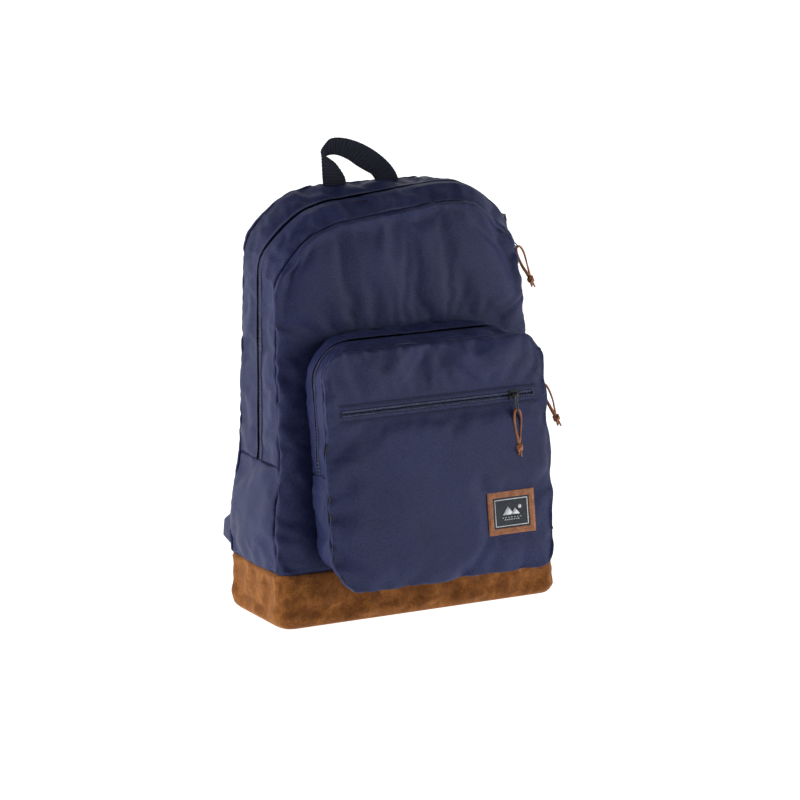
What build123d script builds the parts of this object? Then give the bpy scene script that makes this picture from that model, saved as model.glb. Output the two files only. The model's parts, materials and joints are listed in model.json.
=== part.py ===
"""School backpack: a wedge-shaped main compartment with an arched two-way zip, a front pocket with
an arched two-way zip of its own, a small zipped pocket in that pocket's face, a suede base, a webbing
grab handle and two padded shoulder straps.

Millimetres. +Z is up, the front faces -Y and the wearer's right hand is +X. The origin is on the
floor, under the middle of the bag. Every panel is a closed solid, cut from one shell of its
compartment, so neighbours meet face to face along the seams."""

from math import atan, cos, degrees, radians, sin, tan
import os

from build123d import *

os.makedirs("parts", exist_ok=True)

# ---- driving dimensions ---------------------------------------------------------------------------
BODY_HEIGHT = 441          # floor to the top of the main compartment
HALF_WIDTH_BASE = 157      # half of the main compartment's width at the floor
HALF_WIDTH_TOP = 143       # the same, where the sides would meet the top
CORNER_RADIUS = 60         # upper corners of the main compartment, seen from the front
DEPTH_BASE = 128           # main compartment, back to front, at the floor
DEPTH_TOP = 63             # the same at the full height
CROWN_DEPTH = 42           # the top is level this far from the back, then slopes down
CROWN_SLOPE = 40           # degrees, of that slope
POCKET_DEPTH = 66          # how far the front pocket stands out of the main front panel
POCKET_SLOPE = 15          # degrees, by which the pocket sinks towards its face

CLOTH = 1.6                # panel with its lining and seam allowance
SEAM_EDGE = 7              # the outer edges are rolled over by this radius
BASE_EDGE = 9              # height of the seam between the suede bottom and the boot's sides
BOOT_TOP = 57              # top seam of the suede base
ZIP_END = 166              # lower ends of the main zip
MOUTH_FOLD = 302           # the main front panel folds forwards here once unzipped

ZIP_DEPTH_LOW = 64         # the main zip's distance from the back, if it ran on to the floor
ZIP_DEPTH_TOP = 34.7       # and at the top
ZIP_GAP = 6                # half of the opening between the cloth edges over a zip
TAPE_HALF = 13             # half width of both zip tapes together
TAPE = 0.8
COIL_HEIGHT = 1.8
COIL_OUTER = 3.2           # the chain's half width
SLIT = 0.65                # half of the gap that a slider's wedge runs in
TAPE_END = 8               # the main tapes run on this far below the zip's ends
COIL_END = 1               # and its coil stops this far above them

POCKET_HALF_WIDTH = 122
POCKET_BOTTOM = 57         # along the sloping front panel, from the floor
POCKET_TOP = 303
POCKET_TOP_RADIUS = 46
POCKET_LOW_RADIUS = 30
POCKET_ZIP_DEPTH = 30      # the pocket zip's distance from the main front panel
POCKET_ZIP_END = 160
SMALL_ZIP_HEIGHT = 224     # the straight zip across the pocket's face
SMALL_ZIP_HALF = 101
SMALL_GAP = 5.5
SMALL_TAPE_PAST = 6        # the small zip's tape and bag reach this far past its opening
SMALL_COIL_SHORT = 3       # and its coil stops this far inside it
SMALL_BAG = (0.8, 56)      # thickness and height of the small pocket's bag
SMALL_BAG_DEPTH = 7        # behind the pocket's face

WIDE = 2000                # larger than the bag, for cutting

# ---- frames worked out from them ------------------------------------------------------------------
LEAN = degrees(atan((DEPTH_BASE - DEPTH_TOP) / BODY_HEIGHT))
ZIP_LEAN = degrees(atan((ZIP_DEPTH_LOW - ZIP_DEPTH_TOP) / BODY_HEIGHT))
SIDE_SLOPE = (HALF_WIDTH_BASE - HALF_WIDTH_TOP) / BODY_HEIGHT
SIDE_LEAN = degrees(atan(SIDE_SLOPE))

BACK_Y = DEPTH_BASE / 2    # the back panel's outer face
FRONT = Location((0, BACK_Y - DEPTH_BASE, 0), (-LEAN, 0, 0))       # its XZ plane is the front panel
ZIP = Location((0, BACK_Y - ZIP_DEPTH_LOW, 0), (-ZIP_LEAN, 0, 0))  # its XZ plane holds the main zip
POCKET_ZIP = FRONT * Pos(0, -POCKET_ZIP_DEPTH, 0)                  # its XZ plane holds the pocket zip


def half_width(z):
    """Half of the main compartment's width at a height on its straight sides."""
    return HALF_WIDTH_BASE - SIDE_SLOPE * z


# ---- cutting spaces -------------------------------------------------------------------------------
def slab(frame, low, high):
    """The space between two planes across the frame's Y axis."""
    return frame * Pos(0, (low + high) / 2, 0) * Box(WIDE, high - low, WIDE)


def layer(low, high, frame=Location()):
    """The space between two heights in the frame."""
    return frame * Pos(0, 0, (low + high) / 2) * Box(WIDE, WIDE, high - low)


def above(z, frame=Location()):
    return layer(z, z + WIDE, frame)


def below(z, frame=Location()):
    return layer(z - WIDE, z, frame)


# ---- the two compartments as plain closed forms -----------------------------------------------------
def rim(solid, frame, y):
    """The edges of a solid that lie in the plane at y in the frame."""
    back = frame.inverse()

    def lies_in_plane(edge):
        ends = [back * Pos(*(edge @ t)) for t in (0, 0.5, 1)]
        return all(abs(p.position.Y - y) < 0.01 for p in ends)

    return [e for e in solid.edges() if lies_in_plane(e)]


def main_outline(inset):
    """The main compartment seen from the front, every side moved inwards by inset."""
    outline = make_face(
        Polyline(
            (-HALF_WIDTH_BASE, 0),
            (HALF_WIDTH_BASE, 0),
            (HALF_WIDTH_TOP, BODY_HEIGHT),
            (-HALF_WIDTH_TOP, BODY_HEIGHT),
            close=True,
        )
    )
    outline = fillet(outline.vertices().group_by(Axis.Y)[-1], CORNER_RADIUS)
    if inset:
        outline = offset(outline, -inset, kind=Kind.INTERSECTION)
    return outline


def upright(y):
    """A plane that faces the front, at a distance along Y."""
    return Plane((0, y, 0), x_dir=(1, 0, 0), z_dir=(0, -1, 0))


def main_form(inset=0.0):
    """The main compartment as one closed solid, every face moved inwards by inset."""
    outline = main_outline(inset)
    rear = extrude(upright(BACK_Y - inset) * outline, CROWN_DEPTH - inset)
    slope = (0, -cos(radians(CROWN_SLOPE)), -sin(radians(CROWN_SLOPE)))
    sheared = extrude(upright(BACK_Y - CROWN_DEPTH) * outline, DEPTH_BASE * 1.5, dir=slope)
    form = (rear + sheared) & slab(FRONT, inset, WIDE) & above(inset)
    rims = rim(form, FRONT, inset) + rim(form, Location(), BACK_Y - inset)
    return fillet(rims, SEAM_EDGE - inset)


def pocket_outline(inset):
    """The front pocket seen from the front, every side moved inwards by inset."""
    height = POCKET_TOP - POCKET_BOTTOM
    outline = Pos(0, (POCKET_TOP + POCKET_BOTTOM) / 2) * Rectangle(2 * POCKET_HALF_WIDTH, height)
    outline = fillet(outline.vertices().group_by(Axis.Y)[-1], POCKET_TOP_RADIUS)
    outline = fillet(outline.vertices().group_by(Axis.Y)[0], POCKET_LOW_RADIUS)
    if inset:
        outline = offset(outline, -inset, kind=Kind.INTERSECTION)
    return outline


def pocket_form(inset=0.0):
    """The front pocket, standing on the main front panel; its open back stays in place."""
    slope = (0, -1, -tan(radians(POCKET_SLOPE)))
    length = (POCKET_DEPTH - inset) / cos(radians(POCKET_SLOPE))
    form = extrude(upright(0) * pocket_outline(inset), length, dir=slope)
    form = fillet(rim(form, Location(), -(POCKET_DEPTH - inset)), SEAM_EDGE - inset)
    return FRONT * form


# ---- main compartment -------------------------------------------------------------------------------
def main_panels(outer, inner):
    """The sewn panels of the main compartment, cut from its shell."""
    shell = outer - inner
    front_zone = slab(FRONT, -1, SEAM_EDGE)
    back_zone = slab(Location(), BACK_Y - SEAM_EDGE, BACK_Y + 1)
    gusset = shell - front_zone - back_zone
    upper_gusset = gusset & above(ZIP_END)
    front_gusset = upper_gusset & slab(ZIP, -WIDE, -ZIP_GAP)
    upper_front = shell & front_zone & above(BOOT_TOP)
    return {
        "back_panel": shell & back_zone & above(BOOT_TOP),
        "rear_gusset": upper_gusset & slab(ZIP, ZIP_GAP, WIDE),
        "front_gusset_upper": front_gusset & above(MOUTH_FOLD),
        "front_gusset_lower": front_gusset & below(MOUTH_FOLD),
        "front_panel_upper": upper_front & above(MOUTH_FOLD),
        "front_panel_lower": upper_front & below(MOUTH_FOLD),
        "side_panels": gusset & layer(BOOT_TOP, ZIP_END),
        "suede_boot": shell & layer(BASE_EDGE, BOOT_TOP),
        "suede_bottom": shell & below(BASE_EDGE),
    }


def main_zip(inner):
    """Both tapes and both halves of the coil. What is above the fold rides on the mouth flap."""
    tapes = (inner - main_form(CLOTH + TAPE)) & slab(ZIP, -TAPE_HALF, TAPE_HALF)
    tapes = (tapes - slab(ZIP, -SLIT, SLIT)) & above(ZIP_END - TAPE_END)
    coils = (main_form(CLOTH - COIL_HEIGHT) - inner) & slab(ZIP, -COIL_OUTER, COIL_OUTER)
    coils = (coils - slab(ZIP, -SLIT, SLIT)) & above(ZIP_END + COIL_END)
    flap_space = slab(ZIP, -WIDE, 0) & above(MOUTH_FOLD)
    return {
        "main_zip_tape": tapes - flap_space,
        "main_zip_tape_flap": tapes & flap_space,
        "main_zip_coil": coils - flap_space,
        "main_zip_coil_flap": coils & flap_space,
    }


FOAM = 6
FOAM_EDGE = 10             # the foam stops short of the back panel's seams
LINING = 1
BOARD = 3
BOARD_EDGE = 12
SLEEVE = (250, 1.2, 230)
SLEEVE_GAP = 9             # room for a folder between the sleeve and the back
SLEEVE_FOOT = 34
BINDING = (250, 3, 12)


def flat_sheet(y, thickness, low):
    """A sheet with the back panel's outline, its rear face at y, cut off at a height."""
    return extrude(upright(y) * main_outline(FOAM_EDGE), thickness) & above(low)


def standing(size, y, z):
    """A box whose foot is at z, centred at y."""
    return Pos(0, y, z) * Box(*size, align=(Align.CENTER, Align.CENTER, Align.MIN))


def inside_parts():
    """The back foam and its lining, the base board and the sleeve for a folder or laptop."""
    foam_face = BACK_Y - CLOTH
    lining_face = foam_face - FOAM
    sleeve_y = lining_face - LINING - SLEEVE_GAP
    board_depth = DEPTH_BASE - 2 * BOARD_EDGE - FOAM
    board = standing((2 * (HALF_WIDTH_BASE - BOARD_EDGE), board_depth, BOARD), -FOAM / 2, CLOTH)
    return {
        "back_foam": flat_sheet(foam_face, FOAM, FOAM_EDGE),
        "back_lining": flat_sheet(lining_face, LINING, FOAM_EDGE),
        "base_board": fillet(board.edges().filter_by(Axis.Z), BOARD_EDGE),
        "inner_sleeve": standing(SLEEVE, sleeve_y, SLEEVE_FOOT),
        "sleeve_binding": standing(BINDING, sleeve_y, SLEEVE_FOOT + SLEEVE[2]),
    }


# ---- front pocket -----------------------------------------------------------------------------------
def pocket_panels(outer, inner):
    """The pocket's sewn panels. What is above the zip's ends, in front of the zip, rides on the flap."""
    shell = outer - inner
    face_zone = slab(FRONT, -POCKET_DEPTH - 1, -POCKET_DEPTH + SEAM_EDGE)
    gusset = shell - face_zone
    upper = gusset & above(POCKET_ZIP_END, FRONT)
    face = shell & face_zone
    small_slot = (
        FRONT
        * Pos(0, -POCKET_DEPTH, SMALL_ZIP_HEIGHT)
        * Box(2 * SMALL_ZIP_HALF, 4 * SEAM_EDGE, 2 * SMALL_GAP)
    )
    face_upper = face & above(SMALL_ZIP_HEIGHT, FRONT)
    face_middle = face & layer(POCKET_ZIP_END, SMALL_ZIP_HEIGHT, FRONT)
    return {
        "pocket_gusset_rear": upper & slab(POCKET_ZIP, ZIP_GAP, WIDE),
        "pocket_gusset_front": upper & slab(POCKET_ZIP, -WIDE, -ZIP_GAP),
        "pocket_gusset_lower": gusset & below(POCKET_ZIP_END, FRONT),
        "pocket_face_upper": face_upper - small_slot,
        "pocket_face_middle": face_middle - small_slot,
        "pocket_face_lower": face & below(POCKET_ZIP_END, FRONT),
    }


def pocket_zip(inner):
    """The pocket's zip: the rear half is fixed and the front half rides on the pocket flap."""
    tapes = (inner - pocket_form(CLOTH + TAPE)) & slab(POCKET_ZIP, -TAPE_HALF, TAPE_HALF)
    tapes = (tapes - slab(POCKET_ZIP, -SLIT, SLIT)) & above(POCKET_ZIP_END, FRONT)
    coils = (pocket_form(CLOTH - COIL_HEIGHT) - inner) & slab(POCKET_ZIP, -COIL_OUTER, COIL_OUTER)
    coils = (coils - slab(POCKET_ZIP, -SLIT, SLIT)) & above(POCKET_ZIP_END, FRONT)
    front_half = slab(POCKET_ZIP, -WIDE, 0)
    return {
        "pocket_zip_tape": tapes - front_half,
        "pocket_zip_tape_flap": tapes & front_half,
        "pocket_zip_coil": coils - front_half,
        "pocket_zip_coil_flap": coils & front_half,
    }


def on_face(y, z, x=0.0):
    """A place in the pocket's face frame: y is the distance in front of the face."""
    return FRONT * Pos(x, -POCKET_DEPTH - y, z)


def small_zip():
    """The straight zip across the pocket's face and the flat bag behind it."""
    tape_reach = SMALL_ZIP_HALF + SMALL_TAPE_PAST
    coil_reach = SMALL_ZIP_HALF - SMALL_COIL_SHORT
    tapes, coils = [], []
    for side in (-1, 1):
        tape_mid = side * (SLIT + TAPE_HALF) / 2
        coil_mid = side * (SLIT + COIL_OUTER) / 2
        tapes.append(
            on_face(-CLOTH - TAPE / 2, SMALL_ZIP_HEIGHT + tape_mid)
            * Box(2 * tape_reach, TAPE, TAPE_HALF - SLIT)
        )
        coils.append(
            on_face(-CLOTH + COIL_HEIGHT / 2, SMALL_ZIP_HEIGHT + coil_mid)
            * Box(2 * coil_reach, COIL_HEIGHT, COIL_OUTER - SLIT)
        )
    thick, height = SMALL_BAG
    bag = on_face(-CLOTH - SMALL_BAG_DEPTH, SMALL_ZIP_HEIGHT - height / 2)
    bag *= Box(2 * tape_reach, thick, height)
    return {
        "small_zip_tape": Compound(children=tapes),
        "small_zip_coil": Compound(children=coils),
        "small_pocket_bag": bag,
    }


# ---- sliders, pullers and laces ---------------------------------------------------------------------
# A slider is drawn on a cloth surface at X = 0: +X points out of the bag and +Z runs along the zip.
SLIDER_LENGTH = 12
SLIDER_WIDTH = 9
PLATE_CORNER = 2
TOP_PLATE = (0.7, 2.2)     # low and high X of the plate over the coil
LOW_PLATE = (-4.4, -3.3)   # and of the plate behind the tape
WEDGE = (0.7, 3)           # thickness and length of what joins them, in the tape's slit
CROWN_HEIGHT = 6.4
CROWN_BAR = 1.2
CROWN_HALF = 4
CROWN_LEG = 1.4
CROWN_WIDTH = 2.2
WIRE = 0.6                 # radius of the puller's wire
PULLER_LENGTH = 19
PULLER_HALF = 3.4
SMALL_PULLER_HALF = 2.3
HOLE_X = (TOP_PLATE[1] + CROWN_HEIGHT - CROWN_BAR) / 2    # the middle of the crown's hole
BAR_X = CROWN_HEIGHT - CROWN_BAR / 2                      # the middle of the crown's bar
LACE = 1.4                 # the leather thong's thickness
LACE_WIDTH = 2.6
SMALL_LACE_WIDTH = 2.4
LACE_DROP = 38             # from the puller to the knot
LOOP_HALF = 3.1
KNOT = 4.4
TAIL = 9
TAIL_START = 1             # below the knot's middle
SLIDER_STEP = 18           # between two sliders that meet
PULL_SWING = 20            # degrees, which spreads the two pulls apart


def block(x, y, z):
    """A box from three (low, high) pairs."""
    size = [high - low for low, high in (x, y, z)]
    middle = [(high + low) / 2 for low, high in (x, y, z)]
    return Pos(*middle) * Box(*size)


def spread(half):
    return (-half, half)


def slider():
    """Two plates joined by a wedge that runs in the slit, under a crown with a hole for the puller."""
    along = spread(SLIDER_LENGTH / 2)
    across = spread(SLIDER_WIDTH / 2)
    plates = block(TOP_PLATE, across, along) + block(LOW_PLATE, across, along)
    plates = fillet(plates.edges().filter_by(Axis.X), PLATE_CORNER)
    wedge = block((LOW_PLATE[0], TOP_PLATE[1]), spread(WEDGE[0] / 2), spread(WEDGE[1] / 2))
    crown = block((TOP_PLATE[0], CROWN_HEIGHT), spread(CROWN_WIDTH / 2), spread(CROWN_HALF))
    hole_x = (TOP_PLATE[1], CROWN_HEIGHT - CROWN_BAR)
    hole = block(hole_x, spread(CROWN_WIDTH), spread(CROWN_HALF - CROWN_LEG))
    return plates + wedge + (crown - hole)


def wire_loop(half):
    """A closed wire loop in the YZ plane that hangs from the origin, with round ends."""
    slot = SlotCenterToCenter(PULLER_LENGTH - 2 * half, 2 * half)
    path = Pos(0, 0, -PULLER_LENGTH / 2) * (Rot(0, 90, 0) * slot.face().outer_wire())
    first = path.edges()[0]
    return sweep(Plane(first @ 0, z_dir=first % 0) * Circle(WIRE), path=path)


def lace(width):
    """A leather thong doubled through the puller, with a knot and a tail below. The loop stands in
    the XZ plane and hangs from the origin, which is inside its upper turn."""
    outer = Pos(0, (LOOP_HALF - LACE_DROP) / 2) * Rectangle(2 * LOOP_HALF, LACE_DROP + LOOP_HALF)
    outer = fillet(outer.vertices(), LOOP_HALF - 0.1)
    inner = offset(outer, -LACE)
    loop = extrude(Plane.XZ * (outer - inner), width / 2, both=True)
    knot = Pos(0, 0, -LACE_DROP) * Sphere(KNOT)
    tail = Pos(0, 0, -LACE_DROP - TAIL_START - TAIL / 2) * Box(LACE, width, TAIL)
    return loop + knot + tail


def side_pull(swing, lift, lean):
    """A puller through the crown's hole and its lace. lift is how far the wire stands out from the
    cloth, lean is the same for the lace, and swing turns the wire sideways in its own plane."""
    turned = Pos(HOLE_X, 0, 0) * Rot(0, -lift, 0) * Rot(swing, 0, 0)
    low = (turned * Pos(0, 0, -PULLER_LENGTH)).position
    return turned * wire_loop(PULLER_HALF), Pos(*low) * Rot(0, -lean, 0) * lace(LACE_WIDTH)


def on_main_side(z):
    """A place on the main zip's straight right-hand side, at a height in the zip's plane."""
    return ZIP * Pos(half_width(z), 0, z) * Rot(0, -SIDE_LEAN, 0)


ARC_TOP = BODY_HEIGHT / cos(radians(ZIP_LEAN))
ARC_START = ARC_TOP - CORNER_RADIUS * (1 - sin(radians(SIDE_LEAN)))
MAIN_ARC = (
    half_width(ARC_START) - CORNER_RADIUS * cos(radians(SIDE_LEAN)),
    ARC_START - CORNER_RADIUS * sin(radians(SIDE_LEAN)),
)


def on_main_corner(angle):
    """A place on the main zip's right-hand corner, at an angle past the end of the straight side."""
    turn = Pos(MAIN_ARC[0], 0, MAIN_ARC[1]) * Rot(0, -SIDE_LEAN - angle, 0)
    return ZIP * turn * Pos(CORNER_RADIUS, 0, 0)


def on_pocket_side(z):
    return POCKET_ZIP * Pos(POCKET_HALF_WIDTH, 0, z)


UPPER_ANGLE = 10           # the main zip's upper slider rests this far round the corner
MAIN_LOWER_Z = ARC_START - (SLIDER_STEP - CORNER_RADIUS * radians(UPPER_ANGLE))
POCKET_UPPER_Z = POCKET_TOP - POCKET_TOP_RADIUS - POCKET_ZIP_DEPTH * tan(radians(POCKET_SLOPE))


def pull_parts():
    """Both pairs of sliders on the right-hand side: the upper one of each pair opens the zip over
    the top and the lower one opens it down the side."""
    rests = (
        ("main_{}_upper", on_main_corner(UPPER_ANGLE), PULL_SWING, 8, 3),
        ("main_{}_lower", on_main_side(MAIN_LOWER_Z), -PULL_SWING, 38, 20),
        ("pocket_{}_upper", on_pocket_side(POCKET_UPPER_Z), PULL_SWING, 16, 12),
        ("pocket_{}_lower", on_pocket_side(POCKET_UPPER_Z - SLIDER_STEP), -PULL_SWING, 76, 20),
    )
    parts = {}
    for name, place, swing, lift, lean in rests:
        puller, thong = side_pull(swing, lift, lean)
        parts[name.format("slider")] = place * slider()
        parts[name.format("puller")] = place * puller
        parts[name.format("lace")] = place * thong
    return parts


SMALL_SLIDER_X = SMALL_ZIP_HALF - 12


def small_pull():
    """The small zip's slider lies across; its wire loop hooks over the crown's bar and hangs down."""
    place = on_face(0, SMALL_ZIP_HEIGHT, SMALL_SLIDER_X) * Rot(0, 0, -90)
    low = Pos(BAR_X, 0, SMALL_PULLER_HALF - PULLER_LENGTH)
    loop = Pos(BAR_X, 0, SMALL_PULLER_HALF) * Rot(0, 0, 90) * wire_loop(SMALL_PULLER_HALF)
    return {
        "small_zip_slider": place * Rot(90, 0, 0) * slider(),
        "small_zip_puller": place * loop,
        "small_zip_lace": place * low * Rot(0, 0, 90) * lace(SMALL_LACE_WIDTH),
    }


# ---- label ------------------------------------------------------------------------------------------
PATCH = (56, 1.6, 45)
PATCH_PLACE = (77, 102)    # X and height on the pocket's face
PATCH_BORDER = 6.5
PATCH_CORNER = 1.5
LABEL = 1.0


def patch():
    """A leather patch on the pocket's face with a woven label sewn into its window."""
    width, thick, height = PATCH
    window = (width - 2 * PATCH_BORDER, height - 2 * PATCH_BORDER)
    frame = fillet(Box(*PATCH).edges().filter_by(Axis.Y), PATCH_CORNER)
    frame -= Box(window[0], thick, window[1])
    x, z = PATCH_PLACE
    return {
        "leather_patch": on_face(thick / 2, z, x) * frame,
        "woven_label": on_face(LABEL / 2, z, x) * Box(window[0], LABEL, window[1]),
    }


# ---- grab handle --------------------------------------------------------------------------------------
HANDLE_Y = BACK_Y - SEAM_EDGE     # its feet are sewn into the back seam
HANDLE_HALF = 32
HANDLE_CORNER = 8
HANDLE_TOP = 486
HANDLE_GAP = 0.5           # over the top panel
WEBBING = 2.6
WEBBING_WIDTH = 25


def grab_handle():
    """A webbing arch. Its feet face the back and the band is twisted so that its top lies flat."""
    low = BODY_HEIGHT + HANDLE_GAP
    foot = block(spread(WEBBING_WIDTH / 2), spread(WEBBING / 2), (0, HANDLE_TOP - WEBBING - low))
    arch = block(spread(HANDLE_HALF + WEBBING_WIDTH / 2), spread(WEBBING_WIDTH / 2), (0, WEBBING))
    arch = Pos(0, HANDLE_Y, HANDLE_TOP - WEBBING) * fillet(arch.edges().filter_by(Axis.Z), HANDLE_CORNER)
    for side in (-1, 1):
        arch += Pos(side * HANDLE_HALF, HANDLE_Y, low) * foot
    return arch


# ---- shoulder straps ------------------------------------------------------------------------------------
# Each strap is drawn in its own frame: the origin is on its hinge, -Z runs down the strap and +Y
# points away from the back.
STRAP_WIDTH = 58
STRAP_PAD = 9
STRAP_TOP = 404
STRAP_TILT = 4             # degrees; the straps hang away from the back
STRAP_END = -232
STRAP_UPPER = ((46, 30), (53, -60), (80, -130))           # X and Z along the middle of a strap
STRAP_LOWER = ((80, -130), (93, -175), (97, STRAP_END))
YOKE = (190, 1.6, 38)
YOKE_Z = 406
STRAP_GAP = 0.8            # between the yoke and the strap at its hinge
STRAP = Location((0, BACK_Y + YOKE[1] + STRAP_GAP, STRAP_TOP), (STRAP_TILT, 0, 0))

BUCKLE = (32, 4, 24)
BUCKLE_BAR = 3.2
BUCKLE_SIDE = 3.5
BUCKLE_CORNER = 3
BUCKLE_X = 97
BUCKLE_TOP_BAR = STRAP_END - 8
LOOP_WIDTH = 22
LOOP_ROOM = 2.9            # half of the room for the buckle's bar in its webbing loop
LOOP_WALL = 1.2

TAB = 2.4
TAB_X = 147.5
TAB_OUTLINE = ((0, 58), (0, 104), (26, 86), (29, 68))   # distance behind the back, height
ADJUSTER = 1.6
ADJUSTER_WIDTH = 20
ADJUSTER_Z = 78            # where the adjusting webbing leaves the tab
ADJUSTER_Y = BACK_Y + 24
ADJUSTER_GAP = 8           # under the buckle


def strap_pad(side):
    """The padded strap: a curved band with square ends."""
    upper = ThreePointArc(*((side * x, z) for x, z in STRAP_UPPER))
    lower = ThreePointArc(*((side * x, z) for x, z in STRAP_LOWER))
    edges = Wire([upper, lower]).offset_2d(STRAP_WIDTH / 2, side=Side.BOTH)
    band = make_face(edges) & Pos(0, STRAP_END / 2) * Rectangle(WIDE, -STRAP_END)
    return STRAP * extrude(upright(STRAP_PAD) * band, STRAP_PAD)


def buckle(side):
    """A ladder-lock buckle: a plate with two slots, which leave three bars."""
    width, thick, height = BUCKLE
    plate = fillet(Box(*BUCKLE).edges().filter_by(Axis.Y), BUCKLE_CORNER)
    slot_height = (height - 3 * BUCKLE_BAR) / 2
    slot = Box(width - 2 * BUCKLE_SIDE, thick, slot_height)
    for way in (-1, 1):
        plate -= Pos(0, 0, way * (BUCKLE_BAR + slot_height) / 2) * slot
    drop = BUCKLE_TOP_BAR + BUCKLE_BAR / 2 - height / 2
    return STRAP * Pos(side * BUCKLE_X, STRAP_PAD / 2, drop) * plate


def buckle_loop(side):
    """Webbing from the strap's end, round the buckle's upper bar and back."""
    wall = LOOP_ROOM + LOOP_WALL
    band = block(spread(LOOP_WIDTH / 2), spread(wall), (-wall, STRAP_END - BUCKLE_TOP_BAR))
    room = block(spread(LOOP_WIDTH), spread(LOOP_ROOM), spread(LOOP_ROOM))
    return STRAP * Pos(side * BUCKLE_X, STRAP_PAD / 2, BUCKLE_TOP_BAR) * (band - room)


def anchor_tabs():
    """Triangular tabs in the back seams, low on each side, that hold the adjusting webbing."""
    outline = make_face(Polyline(*TAB_OUTLINE, close=True))
    tabs = []
    for side in (-1, 1):
        plane = Plane((side * TAB_X - TAB / 2, BACK_Y, 0), x_dir=(0, 1, 0), z_dir=(1, 0, 0))
        tabs.append(extrude(plane * outline, TAB))
    return Compound(children=tabs)


def adjusting_webbing(side):
    """The webbing that rises from the tab to the buckle, flat to the back."""
    low_x = TAB_X - TAB / 2 - ADJUSTER_WIDTH / 2
    low = Vector(low_x, ADJUSTER_Z)
    high = Vector(BUCKLE_X, STRAP_TOP + BUCKLE_TOP_BAR - BUCKLE[2] - ADJUSTER_GAP)
    length = (high - low).length
    lean = degrees(atan((low.X - high.X) / (high.Y - low.Y)))
    band = block(spread(ADJUSTER_WIDTH / 2), (0, ADJUSTER), (0, length))
    return Pos(side * low.X, ADJUSTER_Y - ADJUSTER, low.Y) * Rot(0, -side * lean, 0) * band


def straps():
    parts = {"strap_yoke": Pos(0, BACK_Y + YOKE[1] / 2, YOKE_Z) * Box(*YOKE)}
    parts["anchor_tabs"] = anchor_tabs()
    for side, label in ((-1, "left"), (1, "right")):
        parts[f"shoulder_strap_{label}"] = strap_pad(side)
        parts[f"buckle_loop_{label}"] = buckle_loop(side)
        parts[f"ladder_buckle_{label}"] = buckle(side)
        parts[f"adjusting_webbing_{label}"] = adjusting_webbing(side)
    return parts


# ---- everything, written node by node ---------------------------------------------------------------
def all_parts():
    main_outer, main_inner = main_form(0), main_form(CLOTH)
    pocket_outer, pocket_inner = pocket_form(0), pocket_form(CLOTH)
    parts = {}
    parts.update(main_panels(main_outer, main_inner))
    parts.update(main_zip(main_inner))
    parts.update(inside_parts())
    parts.update(pocket_panels(pocket_outer, pocket_inner))
    parts.update(pocket_zip(pocket_inner))
    parts.update(small_zip())
    parts.update(pull_parts())
    parts.update(small_pull())
    parts.update(patch())
    parts["grab_handle"] = grab_handle()
    parts.update(straps())
    return parts


for node, shape in all_parts().items():
    export_step(Compound(children=list(shape.solids())), f"parts/{node}.step")
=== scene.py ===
import json
import math

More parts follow.
